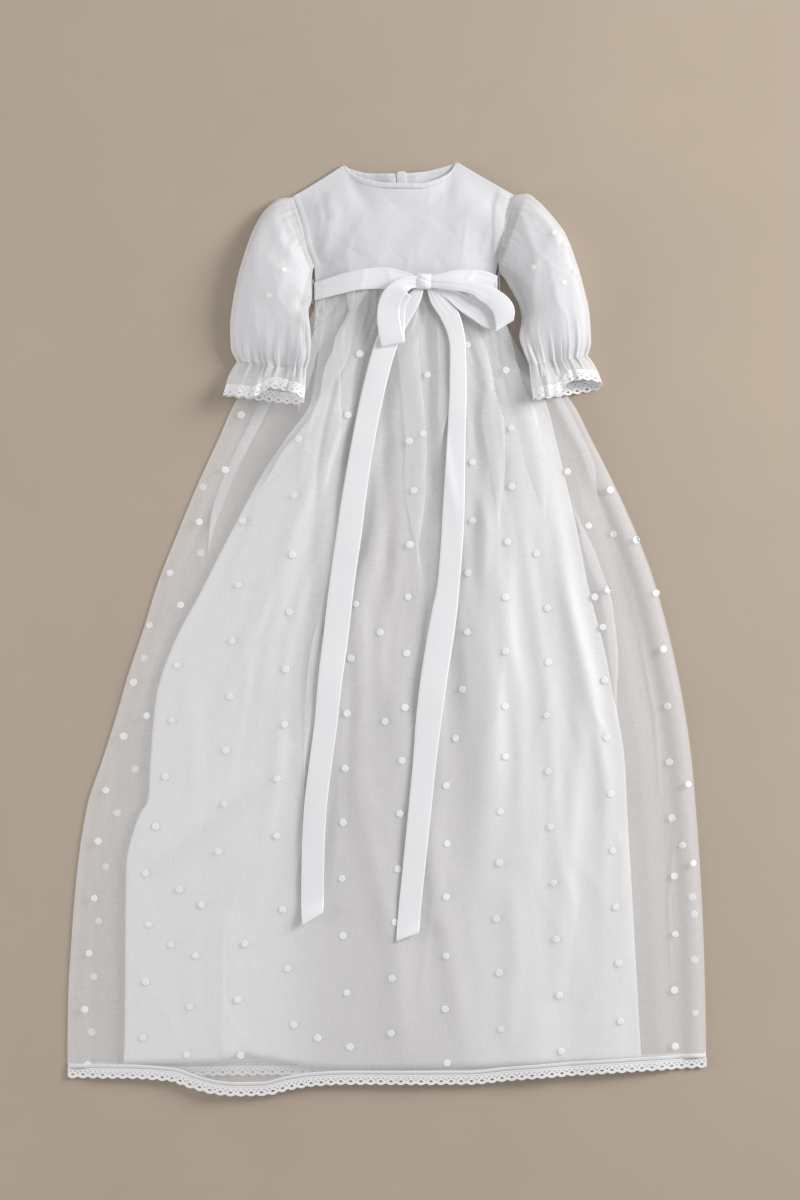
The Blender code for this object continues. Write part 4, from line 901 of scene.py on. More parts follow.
def hem_surface(side, tree):
    """The top and normals of the lace below a hem, from the place along it and down from its seam."""
    x_line = np.linspace(-HEM_HALF, HEM_HALF, 640)
    y_line = curve(x_line, HEM["x"], HEM[side])
    run = np.concatenate([[0], np.cumsum(np.hypot(np.diff(x_line), np.diff(y_line)))])
    z_line = height_on(tree, x_line, y_line + 0.4)

    def surface(u, v):
        x, y, z = (np.interp(u, run, line) for line in (x_line, y_line, z_line))
        slope = np.interp(u, run, np.gradient(y_line, run))
        sag = z + 0.25 * np.sin(u / 11.0) * v / 11
        at = points(x + slope * v, y - 0.35 - v, np.maximum(sag, 0.55))
        return at, np.broadcast_to((0.0, 0.0, 1.0), at.shape)

    return surface, run[-1]


def hem_tape(side, tree):
    """The narrow turned hem above the lace."""
    x = np.linspace(0.4 - HEM_HALF, HEM_HALF - 0.4, 320)
    v = np.array([-0.2, 0.9, 2.4, 3.6])[:, None]
    crown = np.array([0.1, 0.45, 0.45, 0.1])[:, None]
    y = curve(x, HEM["x"], HEM[side]) + v[::-1]
    lay(f"hem_tape_{side}", points(x, y, height_on(tree, x, y) + 0.05 + crown), COTTON, thick=0.3)


def skirt():
    """Makes the skirt's panels, lace and hems, and gives the surfaces of the overskirt's front and back."""
    front_tree = tree_of(overskirt_front())
    back_tree = tree_of(flat_panel(
        "overskirt_back", "skirt_back", OVERSKIRT, HEM["back"], 161, 90, overskirt_back_top, ORGANZA,
    ))
    sides = ("front", 181, 150, petticoat_top), ("back", 81, 70, petticoat_back_top)
    for side, columns, rows, top in sides:
        hem = curve(HEM["x"], LINING_HEM["x"], LINING_HEM[side])
        name, node_name = f"petticoat_{side}", f"skirt_lining_{side}"
        flat_panel(name, node_name, LINING, hem, columns, rows, top, PETTICOAT, 0.4)
    for side, cell in (("front", 0.5), ("back", 0.65)):
        surface, length = hem_surface(side, solid(f"skirt_{side}"))
        lace(f"hem_lacework_{side}", f"hem_lace_{side}", length, HEM_LACE_WIDTH, surface, cell, HEM_EYELETS)
    hem_tape("front", front_tree)
    hem_tape("back", back_tree)
    return front_tree, back_tree


front_tree, back_tree = skirt()

# The overskirt's tufts, most of them in columns that fan out from the waist.
TUFTS = px(
    106, 790, 98.6, 841, 94.7, 898, 89.5, 953, 85, 1009, 88, 1064, 177.5, 665, 172, 720, 166, 776,
    156, 826, 146, 873, 149, 924, 146, 981, 143, 1037, 239, 585, 233, 641, 230, 696, 226, 750, 225, 803,
    219, 851, 202, 904, 196, 955, 190, 1006, 187, 1054, 295, 496, 293, 555, 290, 612, 286, 669, 285, 724,
    277.5, 778, 277, 835, 283, 909, 245, 943, 238, 999, 241, 1054, 288, 968, 294, 1024, 356, 604,
    351, 658, 347, 713, 345, 768, 343, 822, 342, 878, 343, 935, 347, 992, 350, 1046, 427, 376, 423, 435,
    414, 491, 410, 545, 408, 597, 406.5, 653, 405, 707, 402, 760, 400, 813, 398, 868, 395, 921, 392, 977,
    391, 1032, 467, 346, 472, 463, 472, 521, 467.5, 573, 467, 632, 462, 689, 455, 738, 446, 785, 447, 843,
    446, 896, 446, 955, 445, 1008, 447, 1062, 505.5, 371, 510.6, 429, 511, 487, 507, 542, 505, 597,
    505, 651, 505, 706, 505, 756, 500, 811, 499, 862, 496, 918, 499, 972, 501, 1028, 547, 608, 547.5, 662,
    546, 715, 547.5, 771, 550, 826, 553, 882, 555.5, 938, 559, 994, 561, 1050, 567, 472, 588, 526,
    602, 627, 604, 680, 606, 737, 610, 793, 612, 850, 615, 906, 618, 962, 620, 1020, 610, 490, 636, 540,
    656, 593, 663, 649, 667, 706, 669, 762, 671.5, 818, 674, 876, 675, 934, 674, 990, 675, 1046, 360, 355,
    348, 416, 409, 442, 299, 440, 341, 529, 380, 632, 385, 721, 536, 554, 318, 1037, 241.5, 415,
    225.5, 470, 199.5, 522, 243, 521, 170, 573, 181, 605, 149.5, 625, 134, 682, 147, 715.5, 124, 736,
    607, 590, 594, 597, 613, 534, 688, 784, 682, 845, 693, 863, 180, 889, 171, 944,
)
BACK_TUFTS = px(
    135, 769, 117, 813, 105.6, 867, 98.6, 921, 94, 977, 91.6, 1032, 201, 553, 203, 487, 144, 658,
    694, 960, 692, 897, 694, 914, 695, 1013,
)
dots("overskirt_tufts", TUFTS, front_tree, 0.05, 3.7)
dots("overskirt_back_tufts", BACK_TUFTS, back_tree, 0.1, 3.9, 0.4)

# ---------------- bodice

BODICE_CREASES = strokes(
    2,
    (7, 1.6, 330, 190, 334, 215, 326, 245, 322, 262), (4, 0.8, 318, 200, 322, 222, 317, 240),
    (12, 1.5, 352, 250, 372, 222, 392, 205), (10, 1.1, 400, 258, 420, 236, 436, 222),
    (9, 1.2, 452, 232, 472, 214, 490, 206), (8, 1, 440, 262, 462, 246, 482, 240),
    (5, 1, 482, 262, 486, 240, 494, 222), (4, 0.9, 489, 262, 494, 246, 497, 234),
    (8, 0.8, 372, 262, 384, 240, 410, 226), (5, 0.6, 345, 262, 350, 240, 360, 226),
    (4, 0.5, 416, 262, 418, 250, 424, 240),
)
BODICE_FINE = scattered(46, (-85, 118, 350, 440), 60, 40, (14, 46), (1.8, 4.2), (0.12, 0.42), 11)


def shoulder_at(shoulder, share):
    x = curve(np.clip(share, 0, 1), np.linspace(0, 1, len(shoulder["x"])), shoulder["x"])
    return x, curve(x, shoulder["x"], shoulder["y"])


def upper_edge(part, neck, inset=0.0, gap=0.0):
    """The upper outline at the places `part`, the neck's stretch set in by the binding's width and a gap."""
    shoulder_x, shoulder_y = shoulder_at(LEFT_SHOULDER, part / NECK_FROM)
    far_x, far_y = shoulder_at(RIGHT_SHOULDER, (part - NECK_TO) / (1 - NECK_TO))
    turn = np.clip((part - NECK_FROM) / (NECK_TO - NECK_FROM), 0, 1)
    neck_x = neck["x"][0] + (neck["x"][-1] - neck["x"][0]) * (turn - 0.045 * wave(turn))
    deep = inset * within(turn, -0.02, 0.06)
    neck_y = curve(neck_x, neck["x"], neck["y"]) - gap - deep
    x = np.where(part < NECK_FROM, shoulder_x, np.where(part > NECK_TO, far_x, neck_x))
    y = np.where(part < NECK_FROM, shoulder_y, np.where(part > NECK_TO, far_y, neck_y))
    return x, y


def side_at(side, down):
    y = side["y"][0] + (side["y"][-1] - side["y"][0]) * down
    return curve(y, side["y"], side["x"]), y


def bodice_grid(part, neck, rows):
    """The x and y of a bodice panel's points, blended between its four edges."""
    down = np.linspace(0, 1, rows)[:, None]
    top_x, top_y = upper_edge(part, neck, NECK_BINDING - 0.6, SEAM)
    low_x = WAIST["x"][0] + (WAIST["x"][-1] - WAIST["x"][0]) * part
    low_y = waist_y(low_x) + SEAM / 2
    (left_x, left_y), (right_x, right_y) = (side_at(side, down) for side in (LEFT_SIDE, RIGHT_SIDE))

    def blend(top, low, left, right):
        corners = (1 - down) * ((1 - part) * left[0] + part * right[0])
        corners = corners + down * ((1 - part) * left[-1] + part * right[-1])
        return (1 - down) * top + down * low + (1 - part) * left + part * right - corners

    x = blend(top_x, low_x, left_x, right_x)
    y = blend(top_y, low_y, left_y, right_y)
    return x, y, down


def softened(tree, x, y, passes):
    """A surface's heights at places, with its facets smoothed out over an even grid."""
    pitch = 2.0
    across = np.arange(x.min() - 6, x.max() + 6, pitch)
    up = np.arange(y.min() - 6, y.max() + 6, pitch)
    z = height_on(tree, across[None, :], up[:, None])
    for _ in range(passes):
        z = np.pad(z, 1, mode="edge")
        z = (z[:-2, 1:-1] + z[2:, 1:-1] + z[1:-1, :-2] + z[1:-1, 2:] + 4 * z[1:-1, 1:-1]) / 8
    column, row = (x - across[0]) / pitch, (y - up[0]) / pitch
    i, j = column.astype(int), row.astype(int)
    return between(z, i, j, column - i, row - j)


def bodice_front():
    part = np.linspace(0, 1, 141)
    x, y, down = bodice_grid(part, FRONT_NECK, 84)
    z = softened(solid("bodice_front"), x, y, 14)
    edge = within(part, 0.0, 0.06)
    z = z + (relief(x, y, BODICE_CREASES) + relief(x, y, BODICE_FINE)) * edge * ramp(down, 0.02, 0.12)
    # The fold of cloth that stands along the right armhole, and the seams' turned edges.
    fold = ramp(part + 0.012 * np.sin(7 * down), 0.945, 0.958) * (1 - ramp(part, 0.975, 1.0))
    z = z + 1.5 * fold * ramp(down, 0.0, 0.08) * (1 - ramp(down, 0.62, 0.8))
    z = z + 0.5 * (1 - ramp(np.abs(part - 0.018), 0.008, 0.018)) * (1 - ramp(down, 0.7, 0.8))
    # Tiny tucks where the skirt is sewn on.
    z = z + 0.25 * (1 + wave(34 * part)) * ramp(down, 0.9, 0.98) * edge
    lay("bodice_cloth_front", points(x, y, z), COTTON, ("bodice_front",), BODICE_WALL)


def bodice_back(side):
    name, way = ("left", -1) if side < 0 else ("right", 1)
    part = np.linspace(0, SLIT_PART, 61) if side < 0 else np.linspace(SLIT_PART, 1, 65)
    x, y, down = bodice_grid(part, BACK_NECK, 62)
    at_slit = 0 if side > 0 else -1
    off = SLIT_X + way * SLIT_HALF - x[:, at_slit]
    moved = x + off[:, None] * (1 - ramp(np.abs(part - SLIT_PART), 0.0, SLIT_EASE))
    y = y + (waist_y(moved) - waist_y(x)) * down
    cad = solid(f"bodice_back_{name}")
    z = height_on(cad, moved, y) + 0.25 * relief(moved, y, BODICE_FINE)
    # The placket beside the slit.
    placket = 1 - ramp(np.abs(moved - SLIT_X), 8.6, 9.6)
    z = z - 0.1 + 0.35 * placket
    node_names = (f"bodice_back_{name}",)
    lay(f"bodice_cloth_back_{name}", points(moved, y, z), COTTON, node_names, BODICE_WALL)


def neck_tape(name, part, neck, node_name, slit_side=0, crown=0.55):
    """Bias binding along a stretch of the neckline, rounded over its folded edge."""
    x, top = upper_edge(part, neck)
    _, low = upper_edge(part, neck, NECK_BINDING + 0.4)
    if slit_side:
        off = SLIT_X + slit_side * SLIT_HALF - x[0 if slit_side > 0 else -1]
        x = x + off * (1 - ramp(np.abs(part - SLIT_PART), 0.0, SLIT_EASE))
    f = np.array([0.0, 0.08, 0.25, 0.5, 0.75, 0.92, 1.0])[:, None]
    y = top + (low - top) * f
    under = height_on(solid(node_name), x, (top + low) / 2)
    arch = np.array([-0.5, 0.35, 0.8, 1.0, 0.85, 0.45, -0.2])[:, None]
    ripple = 0.08 * np.sin(part * 210.0)
    grid = points(x, y, under - 0.35 + crown * arch + ripple)
    lay(name, grid, COTTON, (node_name,), 0.5)
    return grid


NECK_STITCHES = (0.12, 0.9, 1.6)  # how far they stand up, the gap between them and their length
PLACKET_STITCHES = (0.25, 1.0, 1.8)
STITCH_ROW = 5  # the row of the binding's points that is stitched
PLACKET_SEAM, PLACKET_TOP = 8.0, 446.0


def neck():
    part = np.linspace(NECK_FROM, NECK_TO, 121)
    grid = neck_tape("neck_tape_front", part, FRONT_NECK, "neck_binding_front")
    stitches("neck_stitches_front", grid[STITCH_ROW, 2:-2], *NECK_STITCHES)
    for name, ends, side in (("left", (NECK_FROM, SLIT_PART), -1), ("right", (SLIT_PART, NECK_TO), 1)):
        part = np.linspace(*ends, 55)
        grid = neck_tape(f"neck_tape_back_{name}", part, BACK_NECK, f"neck_binding_back_{name}", side, 0.45)
        stitches(f"neck_stitches_back_{name}", grid[STITCH_ROW, 2:-2], *NECK_STITCHES)
    # The right back's placket laps over the slit, with a rounded tab at the neck.
    down = np.linspace(0, 1, 60)[:, None]
    t = np.linspace(-1, 1, 15)[None, :]
    middle, half_width, top, tab, length = 14.3, 5.1, 453.5, 2.6, 82.0
    y = top + tab * np.sqrt(np.clip(1 - (t * 0.98) ** 2, 0, 1)) - length * down
    x = middle + half_width * t
    cad = solid("bodice_back_right")
    z = height_on(cad, np.maximum(x, SLIT_X + 1.5), np.minimum(y, PLACKET_TOP)) + 0.75 - 0.25 * t**4
    lay("placket", points(x, y, z), COTTON, thick=0.4)
    # The slit's own stitching, down both plackets.
    for name, x in (("left", SLIT_X - PLACKET_SEAM), ("right", SLIT_X + PLACKET_SEAM)):
        y = np.linspace(PLACKET_TOP + 0.5, 372.0, 40)
        cad = solid(f"bodice_back_{name}")
        line = points(x, y, height_on(cad, np.full(40, x), y))
        stitches(f"placket_stitches_{name}", line, *PLACKET_STITCHES)


def button():
    """A small pearl button with a rim and a dished middle, and the thread loop that closes on it."""
    middle_x, middle_y, radius, sides = BUTTON["x"], BUTTON["y"], BUTTON["radius"], 40
    profile = [
        (radius * 0.3, 0.5), (radius * 0.62, 0.45), (radius * 0.8, 0.1), (radius * 0.95, 0.15), (radius, 0.6),
        (radius, 1.2), (radius * 0.93, 1.55), (radius * 0.5, 1.6),
    ]
    angle = 2 * math.pi * np.arange(sides) / sides
    rings = [points(middle_x + r * np.cos(angle), middle_y + r * np.sin(angle), z) for r, z in profile]
    vertices = np.concatenate([*rings, [(middle_x, middle_y, 0.55)], [(middle_x, middle_y, 1.6)]])
    faces = []
    for r in range(len(profile) - 1):
        for k in range(sides):
            n = (k + 1) % sides
            faces.append((r * sides + k, (r + 1) * sides + k, (r + 1) * sides + n, r * sides + n))
    last, middle = (len(profile) - 1) * sides, len(profile) * sides
    for k in range(sides):
        n = (k + 1) % sides
        faces.append((middle, k, n))
        faces.append((middle + 1, last + n, last + k))
    piece("pearl_button", vertices, faces, PEARL, ("back_button",))
    turn = np.linspace(0.15 * math.pi, 1.85 * math.pi, 40)
    line = points(middle_x - 0.6 + 5.3 * np.cos(turn), middle_y + 4.9 * np.sin(turn), 0.55)
    cord("button_loop", line, 0.45)


def cord(name, line, radius, nodes=(), twist=0.18):
    """A worked cord along a line: a round section whose size wavers as its stitches do."""
    sides = 8
    along = unit(np.gradient(line, axis=0))
    side = unit(np.cross(along, (0.0, 0.0, 1.0)))
    up = np.cross(side, along)
    angle = 2 * math.pi * np.arange(sides) / sides
    size = radius * (1 + twist * np.sin(np.arange(len(line)) * 1.7))
    grid = line[:, None] + size[:, None, None] * (
        side[:, None] * np.cos(angle)[None, :, None] + up[:, None] * np.sin(angle)[None, :, None]
    )
    faces, at = quads(len(line), sides, True)
    faces = [tuple(f) for f in faces[:, ::-1].tolist()]
    faces += [tuple(at[0, :-1].tolist()), tuple(at[-1, -2::-1].tolist())]
    piece(name, grid.reshape(-1, 3), faces, THREAD_WHITE, nodes)


bodice_front()
for side in (-1, 1):
    bodice_back(side)
neck()
button()

# ---------------- sleeves

TOP_STEPS, UNDER_STEPS = 84, 28
PUFF_ROWS, UNDERLAYER_ROWS, CUFF_ROWS, FRILL_ROWS, CUFF_LACE_ROWS = 78, 44, 34, 22, 24
LOWEST = 0.1  # how near the surface the cloth of a sleeve comes
CUFF_OVERLAP = 1.6  # how far the frill runs on under its lace
TOP_AT = np.linspace(math.pi, 0, TOP_STEPS + 1)
UNDER_AT = np.linspace(0, -math.pi, UNDER_STEPS + 1)[1:-1]
SLEEVE_FOLDS = {
    "left": strokes(
        2,
        (6, 2.2, 279, 203, 275, 222, 281, 243, 297, 264), (5, 1.6, 286, 205, 288, 224, 300, 244),
        (9, 1.8, 262, 222, 255, 250, 254, 282), (8, 2, 312, 290, 296, 300, 284, 318),
        (7, 1.4, 311, 318, 298, 322, 290, 334), (8, 1.5, 272, 262, 280, 284, 278, 310),
        (6, 1.3, 250, 300, 256, 325, 258, 350), (5, 1.2, 284, 326, 280, 342, 282, 360),
        (5, 1.1, 268, 322, 267, 340, 270, 360),
    ),
    "right": strokes(
        2,
        (5, 1.8, 516, 200, 524, 226, 535, 258, 533, 300), (5, 1.4, 528, 204, 548, 226, 560, 256),
        (8, 1.8, 566, 246, 576, 276, 580, 306), (6, 1.6, 546, 262, 556, 296, 562, 336, 566, 356),
        (6, 1.5, 530, 318, 536, 340, 546, 360), (5, 1.3, 578, 312, 579, 334, 575, 352),
        (5, 1.2, 520, 268, 530, 290, 534, 312), (5, 1.1, 541, 214, 556, 236, 568, 262),
    ),
}


def sleeve_ground(x, y):
    """What a sleeve lies on: the surface, or the side of the skirt that runs under its lower end."""
    left, right = edges_at(OVERSKIRT, y)
    over_skirt = ramp(np.minimum(x - left, right - x), -26.0, 2.0) * (1 - ramp(y, 300.0, 328.0))
    near = [
        height_on(skirt_tree, np.clip(x + dx, left + 1, right - 1), y) for dx in (-12.0, -6.0, 0.0, 6.0, 12.0)
    ]
    return over_skirt * (np.max(near, axis=0) + LAYER)


def ring(outer_edge, inner_edge, height, base=0.0, lean=(0.0, 0.0)):
    """One ring of a sleeve: a low arch with a flat underside, its points in the gown's x, y and z."""
    outer_edge, inner_edge = np.array(outer_edge, float), np.array(inner_edge, float)
    middle, half = (outer_edge + inner_edge) / 2, (inner_edge - outer_edge) / 2
    side = SIDE_SHARE * height
    top_z = side + (height - side) * np.clip(np.sin(TOP_AT), 0, 1) ** 0.85
    under_z = side * np.clip(1 - 1.3 * np.abs(np.sin(UNDER_AT)) ** 0.7, 0, 1)
    across = np.concatenate([np.cos(TOP_AT), np.cos(UNDER_AT)])
    z = np.concatenate([top_z, under_z])
    lifted = np.clip(z / height, 0, 1)[:, None]
    along = middle + across[:, None] * half + lifted * np.array(lean)
    return np.column_stack([along, z + base + sleeve_ground(along[:, 0], along[:, 1])])


def pushed(grid, by):
    """A tube's points moved along their own normals."""
    return grid + normals_of(grid, wrap=True) * by[..., None]


def around_of():
    """How far round the top of a ring each of its points is, from 0 to 1, and how far it is off its edges."""
    top = (1 + np.cos(np.concatenate([TOP_AT, UNDER_AT]))) / 2
    on_top = np.concatenate([np.clip(np.sin(TOP_AT), 0, 1) ** 0.5, np.full(UNDER_STEPS - 1, 0.15)])
    return top, on_top


def wavering(turn):
    """How far the gathers of a sleeve wander from an even spacing."""
    return 0.6 * wave(2.3 * turn, 0.6) + 0.35 * wave(5.1 * turn)


def sleeve(side, rows, tufts):
    mirrored = side == "right"
    edge, way = (LEFT_SIDE, -1) if side == "left" else (RIGHT_SIDE, 1)
    shells, linings = [], []
    for ox, oy, ix, iy, height, set_in in zip(*rows.values()):
        nearer = 0 if mirrored else 3.0 * hump(iy, 333.0, 42.0)
        outer, inner = np.array((ox, oy)), np.array((ix + nearer, iy))
        shells.append(ring(outer, inner, height))
        if len(shells) == 1:
            shells[0][:, 0] = curve(shells[0][:, 1], edge["y"], edge["x"]) + way * 2 * SEAM
            tucked = shells[0].copy()
            tucked[:, 0] -= way * 1.7
            tucked[:, 2] -= np.minimum(1.8, 0.4 * tucked[:, 2])
            continue
        ahead = unit(inner - outer)
        clear = CLOTH + 1.4 * LAYER
        ends = outer + ahead * 1.6 * clear, inner - ahead * (clear + set_in)
        linings.append(ring(*ends, height - 2 * clear - 0.8, clear + 0.8))
    grid = smooth_rows(np.array(shells), PUFF_ROWS)
    inside = smooth_rows(np.array(linings), UNDERLAYER_ROWS)
    turn, on_top = around_of()
    share = np.linspace(0, 1, len(grid))[:, None]
    outward = -1.0 if mirrored else 1.0
    waver = wavering(turn)
    cap = wave(13 * turn + waver) * (1 - ramp(share, 0.02, 0.26 + 0.08 * waver))
    elastic = wave(12 * turn + waver) * ramp(share, 0.74 + 0.06 * waver, 0.97)
    relief_up = relief(grid[..., 0], grid[..., 1], SLEEVE_FOLDS[side])
    fine = relief(grid[..., 0], grid[..., 1], scattered(
        34, (grid[..., 0].min(), grid[..., 0].max(), 265, 425), 80, 28, (16, 60), (2.0, 4.5), (0.2, 0.7), 31
    ))
    start = ramp(share, 0.0, 0.06)
    by = (0.75 * cap + 1.25 * elastic) * on_top + (0.8 * relief_up + 0.8 * fine - 0.5) * on_top * start
    grid = np.concatenate([tucked[None], pushed(grid, outward * by)])
    grid[..., 2] = np.maximum(grid[..., 2], LOWEST)
    inner_by = 0.25 * relief(inside[..., 0], inside[..., 1], SLEEVE_FOLDS[side]) * on_top - 0.2
    inside = pushed(inside, outward * inner_by)
    if mirrored:
        grid, inside = grid[:, ::-1], inside[:, ::-1]
    shell = lay(f"sleeve_puff_{side}", grid, SLEEVE_ORGANZA, (f"sleeve_{side}",), wrap=True)
    lay(f"sleeve_underlayer_{side}", inside, COTTON, (f"sleeve_lining_{side}",), wrap=True)
    dots(f"sleeve_tufts_{side}", px(*tufts), tree_of(shell), 0.04, 2.7)


def cuff(side):
    """The frill below the elastic and the lace that finishes it, in the same waves."""
    mirrored = side == "right"
    outer, inner = np.array(CUFF_ENDS[side]["outer"]), np.array(CUFF_ENDS[side]["inner"])
    ahead = unit(inner - outer)
    down = np.array([ahead[1], -ahead[0]])
    down = down if down[1] < 0 else -down
    turn, on_top = around_of()
    # Where the mouth is shut, the upper layer reaches as far down as the lower one.
    shut = ramp(turn, 0.42, 0.66) if mirrored else 1 - ramp(turn, 0.34, 0.58)
    rings = []
    for top_reach, under_reach, outward, height in zip(*CUFF.values()):
        lean = down * (top_reach - under_reach)
        low = down * under_reach
        made = ring(outer + low - ahead * outward, inner + low + ahead * outward * 0.2, height, lean=lean)
        lifted = np.clip((made[:, 2] - sleeve_ground(made[:, 0], made[:, 1])) / height, 0, 1)
        made[:, :2] -= (shut * lifted * 0.92)[:, None] * lean
        rings.append(made)
    rings = smooth_rows(np.array(rings), CUFF_ROWS)
    share = np.linspace(0, 1, len(rings))[:, None]
    waver = wavering(turn)
    fine = wave(12 * turn + waver) * (1 - ramp(share, 0.1, 0.75))
    broad = wave(4.2 * turn + 0.35 * waver + (0.2 if mirrored else 0.6)) * share**1.5
    by = (1.15 * fine + 1.5 * broad) * on_top
    rings = pushed(rings, (-1.0 if mirrored else 1.0) * by)
    rings[..., 2] = np.maximum(rings[..., 2], LOWEST)
    # Along each line down the cuff, the lace takes the last CUFF_LACE_WIDTH mm and the frill the rest.
    step = np.linalg.norm(np.diff(rings, axis=0), axis=2)
    run = np.concatenate([np.zeros((1, rings.shape[1])), np.cumsum(step, axis=0)])

    def read_down(starts, ends, count):
        found = np.empty((count, *rings.shape[1:]))
        for k in range(rings.shape[1]):
            at = np.linspace(starts[k], ends[k], count)
            for axis in range(3):
                found[:, k, axis] = np.interp(at, run[:, k], rings[:, k, axis])
        return found

    total = run[-1]
    seam = np.maximum(total - CUFF_LACE_WIDTH, 0.3 * total)
    frill = read_down(np.zeros(len(total)), seam + CUFF_OVERLAP, FRILL_ROWS)
    edge = read_down(seam, total, CUFF_LACE_ROWS)
    tucked = frill[:1].copy()
    tucked[..., :2] -= 2.2 * down
    tucked[..., 2] -= np.minimum(1.2, 0.3 * tucked[..., 2])
    frill = np.concatenate([tucked, frill])
    edge[..., 2] += 0.35
    frill = frill[:, ::-1] if mirrored else frill
    lay(f"cuff_frill_{side}", frill, SLEEVE_ORGANZA, (f"cuff_{side}",), wrap=True)
    # The lace is read round its rings from the underside's middle, so that its join is out of sight.
    order = np.roll(np.arange(edge.shape[1]), -(TOP_STEPS + UNDER_STEPS // 2))
    if mirrored:
        order = order[::-1]
    loop = np.concatenate([edge[:, order], edge[:, order[:1]]], axis=1)
    normal = normals_of(edge[:, order], wrap=True)
    normal = np.concatenate([normal, normal[:, :1]], axis=1)
    run = run_along(loop[-4])

    def surface(u, v):
        at_u = np.interp(u, run, np.arange(len(run)))
        at_v = np.clip(v / CUFF_LACE_WIDTH, 0, 1) * (len(loop) - 1)
        i, j = np.minimum(at_u.astype(int), len(run) - 2), np.minimum(at_v.astype(int), len(loop) - 2)
        f, g = (at_u - i)[:, None], (at_v - j)[:, None]
        return between(loop, i, j, f, g), unit(between(normal, i, j, f, g))

    lace(f"cuff_lacework_{side}", f"cuff_lace_{side}", run[-1], CUFF_LACE_WIDTH, surface, 0.4, CUFF_EYELETS)


skirt_tree = solid("skirt_front")
sleeve("left", SLEEVE_LEFT, (285, 272, 270, 298))
sleeve("right", SLEEVE_RIGHT, (553, 235, 565, 246, 575, 273, 532, 270, 563, 285))
for side in ("left", "right"):
    cuff(side)

# ---------------- sash and bow

KNOT_X, KNOT_Y, KNOT_WIDTH, KNOT_REACH, KNOT_RISE = 36.5, 344.2, 14.6, 7.6, 5.4
BELOW_SASH = 334.0  # the skirt's cloth is felt for no higher than this
BAND_BACK_WIDTH = 17.0


def rows_of(rows, columns, count):
    """A ribbon's table read smoothly at evenly spread places along it."""
    at = np.arange(len(rows["x"]))
    fine = np.linspace(0, len(at) - 1, count)
    return [curve(fine, at, rows[c]) for c in columns]


def highest(tree, x, y, reaches, aim=0.0):
    """The highest a surface is beside each place, this far to either side of it."""
    angle = np.radians(aim)
    found = [height_on(tree, x + d * np.cos(angle), y + d * np.sin(angle)) for d in reaches]
    return np.max(found, axis=0)


def smoothed(line, width):
    window = np.hanning(2 * width + 3)[1:-1]
    padded = np.concatenate([np.full(width, line[0]), line, np.full(width, line[-1])])
    return np.convolve(padded, window / window.sum(), "valid")


def band_pleats(share, t):
    """The band's soft lengthwise pleats, which deepen towards the knot, and its crosswise creases."""
    from_knot = np.abs(share - 0.62)
    deep = 0.35 + 0.75 * bell(from_knot, 0.16)
    fan = t * (0.55 + 1.6 * np.minimum(from_knot, 0.5))
    lines = wave(1.1 * fan + 0.15) + 0.35 * wave(2.3 * t + 0.6 * share)
    across = 0.45 * bell(share - 0.29 - 0.012 * t, 0.014)
    across = across + 0.5 * bell(share - 0.43 + 0.02 * t, 0.02)
    across = across + 0.6 * bell(share - 0.80 - 0.03 * t, 0.018)
    return 0.3 * deep * lines * (1 - t**4) + across * (1 - 0.3 * t**2)


def sash():
    left, right = WAIST["x"][0] + 1.0, WAIST["x"][-1] - 1.0
    cad = solid("sash_front")
    x = np.linspace(left, right, 200)
    y = waist_y(x)
    z = highest(cad, x, y, (-3.0, 0.0, 3.0), 90.0) - RIBBON / 2
    z = smoothed(z, 3)
    wide = curve(x, WAIST["x"], WAIST["sash"])
    turn = np.linspace(0, 1, 16)[1:]
    out, low = 2.5, RIBBON + SEAM + RIBBON / 2
    aside = out * np.sin(turn * math.pi / 2)
    fall = 1 - np.cos(turn * math.pi / 2)
    start = points(left - aside, y[0], z[0] + (low - z[0]) * fall)
    end = points(right + aside, y[-1], z[-1] + (low - z[-1]) * fall)
    middle = np.concatenate([start[::-1], points(x, y, z), end])
    width = np.concatenate([np.full(15, wide[0]), wide, np.full(15, wide[-1])])
    ribbon("sash_band", "sash_front", middle, width, np.full(len(middle), 90.0), 21, band_pleats)
    x = np.linspace(left - out, right + out, 90)
    flat, width, aim = points(x, waist_y(x), RIBBON / 2), np.full(90, BAND_BACK_WIDTH), np.full(90, 90.0)
    ribbon("sash_band_back", "sash_back", flat, width, aim, 9, lambda share, t: 0.12 * wave(1.3 * t + share))


def knot():
    felt = highest(solid("sash_front"), np.array([KNOT_X]), np.array([KNOT_Y]), (-6.0, 0.0, 6.0))
    rest = float(felt[0]) + SEAM + RIBBON / 2
    angle = np.linspace(0, math.pi, 48)
    y = KNOT_Y - KNOT_REACH * np.cos(angle)
    z = rest + KNOT_RISE * np.sin(angle) ** 0.6
    wide = KNOT_WIDTH - 1.4 * np.sin(angle)

    def folds(share, t):
        """Its edges turned under, and the creases that run over it from loop to loop."""
        inward = 1.8 * np.abs(t) ** 4 * np.sin(math.pi * share)
        ridge = 0.45 * wave(0.6 * t + 0.45 * share) + 0.12 * wave(1.9 * t - 0.4 * share)
        crease = 0.7 * bell(share - 0.56 + 0.1 * t, 0.05)
        return inward + crease - 0.6 * ridge * np.sin(math.pi * share) ** 0.5 * (1 - t**4)

    ribbon("sash_knot_wrap", "sash_knot", points(KNOT_X, y, z), wide, np.zeros(48), 19, folds)


